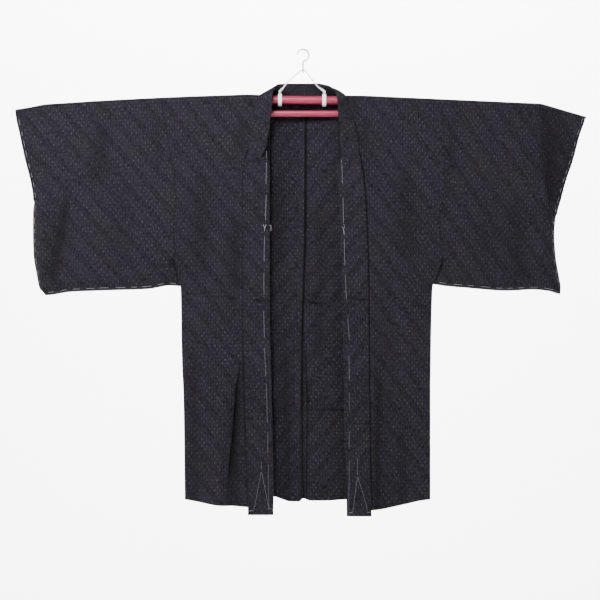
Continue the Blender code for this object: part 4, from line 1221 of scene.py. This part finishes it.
CUFF_STITCH_IN = {"left": 6.6, "right": 6.0}    # distance of the basting from the cuff's edge
HEM_STITCH_UP = 6.2        # and from the sleeve's lower edge
STITCH_THICK = {"left": (0.85, 1.15), "right": (0.75, 1.0)}    # by the cuff, by the lower edge
STITCH_LENGTH = 16.5
STITCH_GAP = 9.0
LENGTH_VARIES = (0.75, 1.3)
GAP_VARIES = (0.6, 1.4)
STITCH_SAG = 0.4
LAST_STITCH = 6.0          # shortest length that is left for one more stitch
HEM_STITCH_LONGER = 1.35
CUFF_STITCHED = (-158, -560)
CORNER_Z = -575.0          # height of the sleeve's outer corner, and of its inner one
INNER_CORNER_Z = -560.0
HEM_STITCHED_IN = (14, 6)  # how far from these corners the lower edge's stitches end
LAPEL_DASH_STEP = 8.0      # spacing of a thread's points
LAPEL_DASH_WANDER = 0.5
LAPEL_END_SAG = 0.8
STITCH_STEP = 5.0
LAPEL_END_THICK = (0.75, 0.75, 0.75, 1.5, 1.5)


def laid(tree, places, lift, front=True):
    """The path of a thread that lies on the cloth at some places, its two ends sunk into it."""
    ends = (0, len(places) - 1)
    path = [touch(tree, x, z, lift + THREAD * 0.8 - SUNK * (k in ends), front)
            for k, (x, z) in enumerate(places)]
    return [place for place in path if place is not None]


def stitch(tree, start, end, lift, front=True, sag=0.0, seed=0):
    """A length of thread from one place to another, bent a little to one side."""
    (x0, z0), (x1, z1) = start, end
    length = ((x1 - x0) ** 2 + (z1 - z0) ** 2) ** 0.5
    bend = np.random.default_rng(seed).uniform(-1, 1) * sag
    places = []
    for t in np.linspace(0, 1, max(4, round(length / STITCH_STEP)) + 1):
        across = bend * sin(pi * t)
        places.append((lerp(x0, x1, t) + across * (z1 - z0) / length,
                       lerp(z0, z1, t) - across * (x1 - x0) / length))
    return laid(tree, places, lift, front)


def lapel_basting(side, band_tree, finish):
    """The long running thread down a lapel, and the triangle at its lower end."""
    tubes = []
    for k, (top, low, thick) in enumerate(LAPEL_DASHES[side]):
        places = []
        for t in np.linspace(0, 1, max(4, round((top - low) / LAPEL_DASH_STEP)) + 1):
            z = lerp(top, low, t)
            wander = LAPEL_DASH_WANDER * sin(3.1 * t + k)
            places.append((float(smooth(LAPEL_THREAD[side], "z", "x", z)) + wander, z))
        tubes.append((laid(band_tree, places, BAND / 2), THREAD * thick))
    for k, (x0, z0, x1, z1) in enumerate(zip(*LAPEL_END[side].values())):
        path = stitch(band_tree, (x0, z0), (x1, z1), BAND / 2, sag=LAPEL_END_SAG, seed=k)
        tubes.append((path, THREAD * LAPEL_END_THICK[k]))
    tubes = [(path, radius) for path, radius in tubes if len(path) > 2]
    return new_piece("basting_lapel_" + side, tube_mesh("basting", tubes, 6), finish)


def sleeve_basting(side, tree, finish):
    """Running stitches round a sleeve's cuff and lower edge, on both of its faces."""
    draw = np.random.default_rng(7 if side == "left" else 8)
    inward = -SIDES[side]
    cuff = np.array([(float(cuff_edge(side, z)) + inward * CUFF_STITCH_IN[side], z)
                     for z in np.linspace(*CUFF_STITCHED, 90)])
    outer = float(cuff_edge(side, CORNER_Z)) + inward * HEM_STITCHED_IN[0]
    inner = float(sleeve_edge(side, INNER_CORNER_Z)) - inward * HEM_STITCHED_IN[1]
    low = np.array([(x, float(hem_height(SLEEVE_HEM, x)) + HEM_STITCH_UP)
                    for x in np.linspace(outer, inner, 70)])
    tubes = []
    for line, thick in zip((cuff, low), STITCH_THICK[side]):
        run = distance_along(line)
        for front in (True, False):
            at = draw.uniform(0, STITCH_GAP)
            while at < run[-1] - LAST_STITCH:
                longer = HEM_STITCH_LONGER if line is low else 1.0
                long = STITCH_LENGTH * draw.uniform(*LENGTH_VARIES) * longer
                ends = [[float(np.interp(p, run, line[:, axis])) for axis in (0, 1)]
                        for p in (at, min(at + long, run[-1]))]
                path = stitch(tree, *ends, CLOTH / 2, front, sag=STITCH_SAG, seed=int(at))
                if len(path) > 3:
                    tubes.append((path, THREAD * thick))
                at += long + STITCH_GAP * draw.uniform(*GAP_VARIES)
    return new_piece("basting_sleeve_" + side, tube_mesh("basting", tubes, 6), finish)


# ------------------------------------------------------------------ cord loops and ties

LOOP_Z = -428.0
LOOP_RADIUS = 5.2
LOOP_STRAND = 0.75
LOOP_TURN = 4.0            # distance between two turns of the loop's strands
TIE_FACE = -24.0
TIE_THICK = {"left": 1.7, "right": 1.4}
LOOP_TIES = {
    "left": (((-94.6, -420.0), (-92.6, -424.5), (-91.4, -428.0), (-91.2, -435.0)),
             ((-88.0, -420.0), (-89.6, -424.0), (-91.0, -428.0), (-91.2, -434.0)),
             ((-79.5, -421.5), (-77.0, -421.5), (-76.2, -427.0), (-76.6, -435.5))),
    "right": (((97.6, -419.0), (98.4, -424.0), (96.6, -431.5), (97.0, -442.0)),
              ((92.4, -424.5), (94.6, -427.5), (96.4, -431.0), (99.8, -444.0)))}


def twist(route, offset, radius, count, pitch):
    """Strands wound round a route, at an offset from it."""
    _, sides, ups = frames(route)
    turns = distance_along(route) * 2 * pi / pitch
    strands = []
    for k in range(count):
        turn = (turns + k * 2 * pi / count)[:, None]
        strands.append((route + offset * (np.cos(turn) * sides + np.sin(turn) * ups), radius))
    return strands


def himo_loop(side, band_tree, dark, white):
    """The dark braided loop on a lapel, tied down with white thread."""
    node = "himo_loop_" + side
    low, high = node_box(node)
    inward, y = -SIDES[side], (low.y + high.y) / 2
    root_x, tip_x = (low.x, high.x) if side == "left" else (high.x, low.x)
    tip_x -= inward * (LOOP_RADIUS + 1.3)
    centre = [(tip_x + inward * LOOP_RADIUS * cos(turn), y, LOOP_Z + LOOP_RADIUS * sin(turn))
              for turn in np.linspace(pi / 2, -pi / 2, 13)]
    first, last = ((root_x + inward * 1.5, y, LOOP_Z + way * LOOP_RADIUS) for way in (1, -1))
    strands = twist(resample([first, *centre, last], 60), LOOP_STRAND * 0.75, LOOP_STRAND, 2, LOOP_TURN)
    new_piece("himo_loop_braid_" + side, tube_mesh("loop", strands, 8), dark, [node])
    ties, face = [], y - 2.0 if side == "left" else TIE_FACE
    for route in LOOP_TIES[side]:
        path = []
        for x, z in route:
            place = touch(band_tree, x, z, BAND / 2 + 0.6)
            depth = place.y if place is not None else face
            path.append((x, min(depth, face) if side == "left" else depth, z))
        ties.append((resample(path, 14), THREAD * TIE_THICK[side]))
    new_piece("himo_tie_" + side, tube_mesh("tie", ties, 7), white)


# ------------------------------------------------------------------ the hanger

RING_BORE = 10.35
RING_TRIM = 0.7            # moulding draft: the ring is narrower than its seat on the bar
RING_BEVEL = 0.8
RING_EDGE = 1.4            # rounding of the ring's outer edges
EYELET_RADIUS = 2.3
EYELET_WIRE = 1.0
EYELET_NECK = 3.0
CORD_STRAND = 0.85
CORD_PITCH = 5.0
CORD_TOP = 1.5             # from the solid's top to the cord's middle
KNOT_TURNS = 5
KNOT_LONG = {1: 10, -1: 13}
KNOT_LOOP = 2.6
HOOK_WIRE = 2.0
HOOK_RADIUS = 14.0
HOOK_EYE_RADIUS = 7.0
HOOK_EYE_Z = -45.0


def ring_piece(node, finish):
    """A flat white ring on the bar, with a small eyelet on top for the cord."""
    low, high = node_box(node)
    middle, half = (low + high) / 2, (high.x - low.x) / 2 - RING_TRIM
    outer, bevel = (high.z - low.z) / 2, RING_BORE + RING_BEVEL
    profile = [(-half, bevel), (-half + RING_BEVEL, RING_BORE), (half - RING_BEVEL, RING_BORE),
               (half, bevel)]
    for way in (1, -1):
        profile += [(way * half - way * RING_EDGE * (1 - cos(turn)), outer - RING_EDGE * (1 - sin(turn)))
                    for turn in np.linspace(0, pi / 2, 5)[::way]]
    mesh = turned_mesh(node + "_band", profile, lambda along, out, turn: (
        (middle.x + along) * MM, (middle.y + out * cos(turn)) * MM,
        (middle.z + out * sin(turn)) * MM), closed=True)
    new_piece(node + "_band", clean(mesh), finish, [node])
    centre = Vector((middle.x, 0, high.z + EYELET_RADIUS + EYELET_NECK))
    route = [(centre.x + EYELET_RADIUS * cos(turn), 0.0, centre.z + EYELET_RADIUS * sin(turn))
             for turn in np.linspace(-0.5 * pi, 1.5 * pi, 40)]
    neck = [(centre.x, 0.0, z) for z in np.linspace(high.z - 1.0, route[0][2], 5)]
    new_piece(node + "_eyelet", tube_mesh("eyelet", [(route, EYELET_WIRE), (neck, 1.5)], 12), finish)
    return centre


def knot(eyelet, way):
    """The cord's loop in an eyelet, its winding round itself and its short tail."""
    start = np.array((eyelet.x + way * 2.4, 0, eyelet.z + KNOT_LOOP))
    along = unit(np.array((eyelet.x + way * KNOT_LONG[way], 0, eyelet.z + 12.0)) - start)
    up = np.cross(along, ALONG_Y)
    wind = [start + along * 0.95 * CORD_STRAND * 2 * turn / (2 * pi)
            + (0.8 + 1.5 * sin(turn / (2 * KNOT_TURNS)) ** 2) * (cos(turn) * ALONG_Y + sin(turn) * up)
            for turn in np.linspace(0, 2 * pi * KNOT_TURNS, 110)]
    tail = resample([wind[-1], wind[-1] + along * 3 + ALONG_Y * -1.5,
                     wind[-1] + along * 6 + up * 2.2 - ALONG_Y * 2.2], 10)
    loop = [(eyelet.x + way * 0.8 * cos(turn), KNOT_LOOP * sin(turn),
             eyelet.z + KNOT_LOOP + 2.2 * cos(turn)) for turn in np.linspace(-0.9 * pi, 0.9 * pi, 24)]
    return [(path, CORD_STRAND) for path in (wind, tail, loop)]


def hanging_cord(eyelets, finish):
    """The twisted cord from eyelet to eyelet through the hook's eye, knotted at both ends."""
    top = node_box("hanging_cord")[1].z - CORD_TOP
    left, right = eyelets
    route = resample([(left.x + 0.5, 0, left.z + 1.5), (left.x + 7.5, 0, left.z + 8.5),
                      (-40.0, 0, -80.5), (-26, 0, -66.5), (-14, 0, -56.0), (-5, 0, top - 0.8),
                      (0, 0, top), (5, 0, top - 0.8), (14, 0, -60), (29.5, 0, -80.5),
                      (right.x - 10.5, 0, right.z + 8.0), (right.x - 0.5, 0, right.z + 1.5)], 260)
    tubes = twist(route, CORD_STRAND * 0.72, CORD_STRAND, 2, CORD_PITCH) + knot(left, 1) + knot(right, -1)
    return new_piece("hanging_cord_twist", tube_mesh("cord", tubes, 10), finish,
                     ["hanging_cord"])


def wire_hook(finish):
    """The bent wire hook: an eye for the cord, a stem and a bow."""
    route = [(0, HOOK_EYE_RADIUS * cos(turn), HOOK_EYE_Z + HOOK_EYE_RADIUS * sin(turn))
             for turn in np.linspace(2.35, 2.35 + 1.72 * pi, 40)]
    route += [(0, 0, HOOK_EYE_Z + HOOK_EYE_RADIUS + 6)]
    route += [(HOOK_RADIUS * cos(turn), 0, HOOK_WIRE - HOOK_RADIUS + HOOK_RADIUS * sin(turn))
              for turn in np.linspace(-0.5 * pi, 0.95 * pi, 48)]
    return new_piece("hook_wire", tube_mesh("hook", [(route, HOOK_WIRE)], 20), finish,
                     ["hook"])


# ------------------------------------------------------------------ the studio

FLOOR_Z = -1.9
ROOM_RADIUS = 6.0
ROOM_BEND = 2.2
ROOM_HEIGHT = 5.2
LAMPS = table("x y z size power aim_x aim_y aim_z",
              (-0.5, -1.65, 0.8, 0.6, 66, -0.1, 0.0, -0.4),
              (-1.7, -1.3, 0.5, 0.8, 29.5, -0.2, 0.0, -0.4),
              (0.0, 1.2, 3.4, 3.5, 3200, 0.0, 4.5, 2.3))
ROOM_LIGHT = 0.295
CAMERA_PLACE = (-0.0072, -3.0, -0.5995)
CAMERA_LENS = 75.0
CAMERA_SENSOR = 36.0


def studio():
    """A pale floor that sweeps up all round, soft lamps and the camera."""
    made, t, shader = material("pale sweep")
    grain = t.noise(t.place(), 220.0, 2.0)
    t.fill(shader, {"Base Color": t.mix(grain, (0.80, 0.80, 0.80), (0.83, 0.83, 0.83)),
                    "Roughness": 0.95})
    bend = [(ROOM_RADIUS - ROOM_BEND * (1 - cos(turn)), ROOM_BEND * (1 + sin(turn)))
            for turn in np.linspace(-pi / 2, 0, 13)]
    profile = [(0.0, 0.0), (1.5, 0.0), (3.0, 0.0), *bend, (ROOM_RADIUS, ROOM_HEIGHT)]
    mesh = turned_mesh("sweep", profile, lambda out, up, turn: (
        out * cos(turn), out * sin(turn), FLOOR_Z + up), closed=False)
    mesh.materials.append(made)
    clean(mesh, 0.0001).shade_smooth()
    placed("sweep", mesh)

    for k, (x, y, z, size, power, *aim) in enumerate(zip(*LAMPS.values())):
        light = bpy.data.lights.new(f"softbox_{k}", "AREA")
        light.shape = "SQUARE"
        light.size = size
        light.energy = power
        lamp = placed(light.name, light)
        lamp.location = (x, y, z)
        lamp.visible_camera = False
        lamp.rotation_euler = (Vector(aim) - lamp.location).to_track_quat("-Z", "Y").to_euler()

    world = bpy.data.worlds.new("studio")
    world.use_nodes = True
    Tree(world.node_tree).fill(world.node_tree.nodes["Background"], ((1.0, 1.0, 1.0, 1.0), ROOM_LIGHT))
    bpy.context.scene.world = world

    view = bpy.data.cameras.new("camera")
    view.lens = CAMERA_LENS
    view.sensor_width = CAMERA_SENSOR
    camera = placed("camera", view)
    camera.location = CAMERA_PLACE
    camera.rotation_euler = (pi / 2, 0.0, 0.0)
    bpy.context.scene.camera = camera


# ------------------------------------------------------------------ the whole garment


def sheet_area(points):
    """Area of a grid of points, in square metres."""
    across, along = np.diff(points, axis=1)[:-1], np.diff(points, axis=0)[:, :-1]
    return float(np.linalg.norm(np.cross(across, along), axis=-1).sum()) * MM * MM


def hung_sheet(name, grid, flat, finish, replaced=(), thickness=CLOTH, sew=None):
    """A cloth piece that hangs, with the pieces that sew() puts on it; and its faces."""
    piece, tree = cloth_piece(name, grid, thickness, finish, replaced)
    sewn_on = sew(tree) if sew else ()
    sheet_area(grid[0])
    return piece, tree


def main():
    studio()
    cloth = haori_cloth(dots_group(), weave_group())
    lines, marks = twist_group(), moulding_group()
    basting = twisted_thread("white basting thread", lines, BASTING_WHITE, THREAD_TWIST)
    bright = twisted_thread("brighter basting thread", lines, BRIGHTER_BASTING_WHITE, THREAD_TWIST)
    white_cord = twisted_thread("white cord", lines, CORD_WHITE, CORD_TWIST)
    loop_thread = twisted_thread("dark loop thread", lines, LOOP_DARK, BRAID_TWIST, sheen=0.0)
    crimson = moulded_plastic("crimson plastic", marks, CRIMSON, rough=0.3, shine=0.44)
    white = moulded_plastic("white plastic", marks, RING_WHITE, rough=0.32, shine=0.5)

    for node in ("hanger_bar", "sash_bar"):
        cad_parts[node].data.materials.clear()
        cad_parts[node].data.materials.append(crimson)

    necks = []
    for side in SIDES:
        grid, neck_rows = body_grid(side)
        necks.append(grid[0][:neck_rows, 0][::-1])
        body, _ = hung_sheet("body_cloth_" + side, grid, "body", cloth,
                             ["body_" + side])
        hung_sheet("sleeve_cloth_" + side, sleeve_grid(side), "sleeve", cloth,
                   ["sleeve_" + side], sew=lambda tree: [sleeve_basting(side, tree, bright)])
        for name, grid in (("gusset", gusset_grid(side)), ("hem_turnup", turnup_grid(side))):
            hung_sheet(name + "_cloth_" + side, grid, name, cloth, [name + "_" + side])

    hung_sheet("centre_seam_allowance", allowance_grid(), "allowance", cloth)
    _, tree = hung_sheet("collar_band", collar_grid(*necks), "collar", cloth,
                         ["collar"], BAND,
                         lambda tree: [lapel_basting(side, tree, basting) for side in SIDES])
    himo_loop("left", tree, loop_thread, bright)
    himo_loop("right", tree, loop_thread, basting)

    eyelets = [ring_piece("ring_" + side, white) for side in SIDES]
    hanging_cord(eyelets, white_cord)
    wire_hook(drawn_steel("hook wire"))


main()
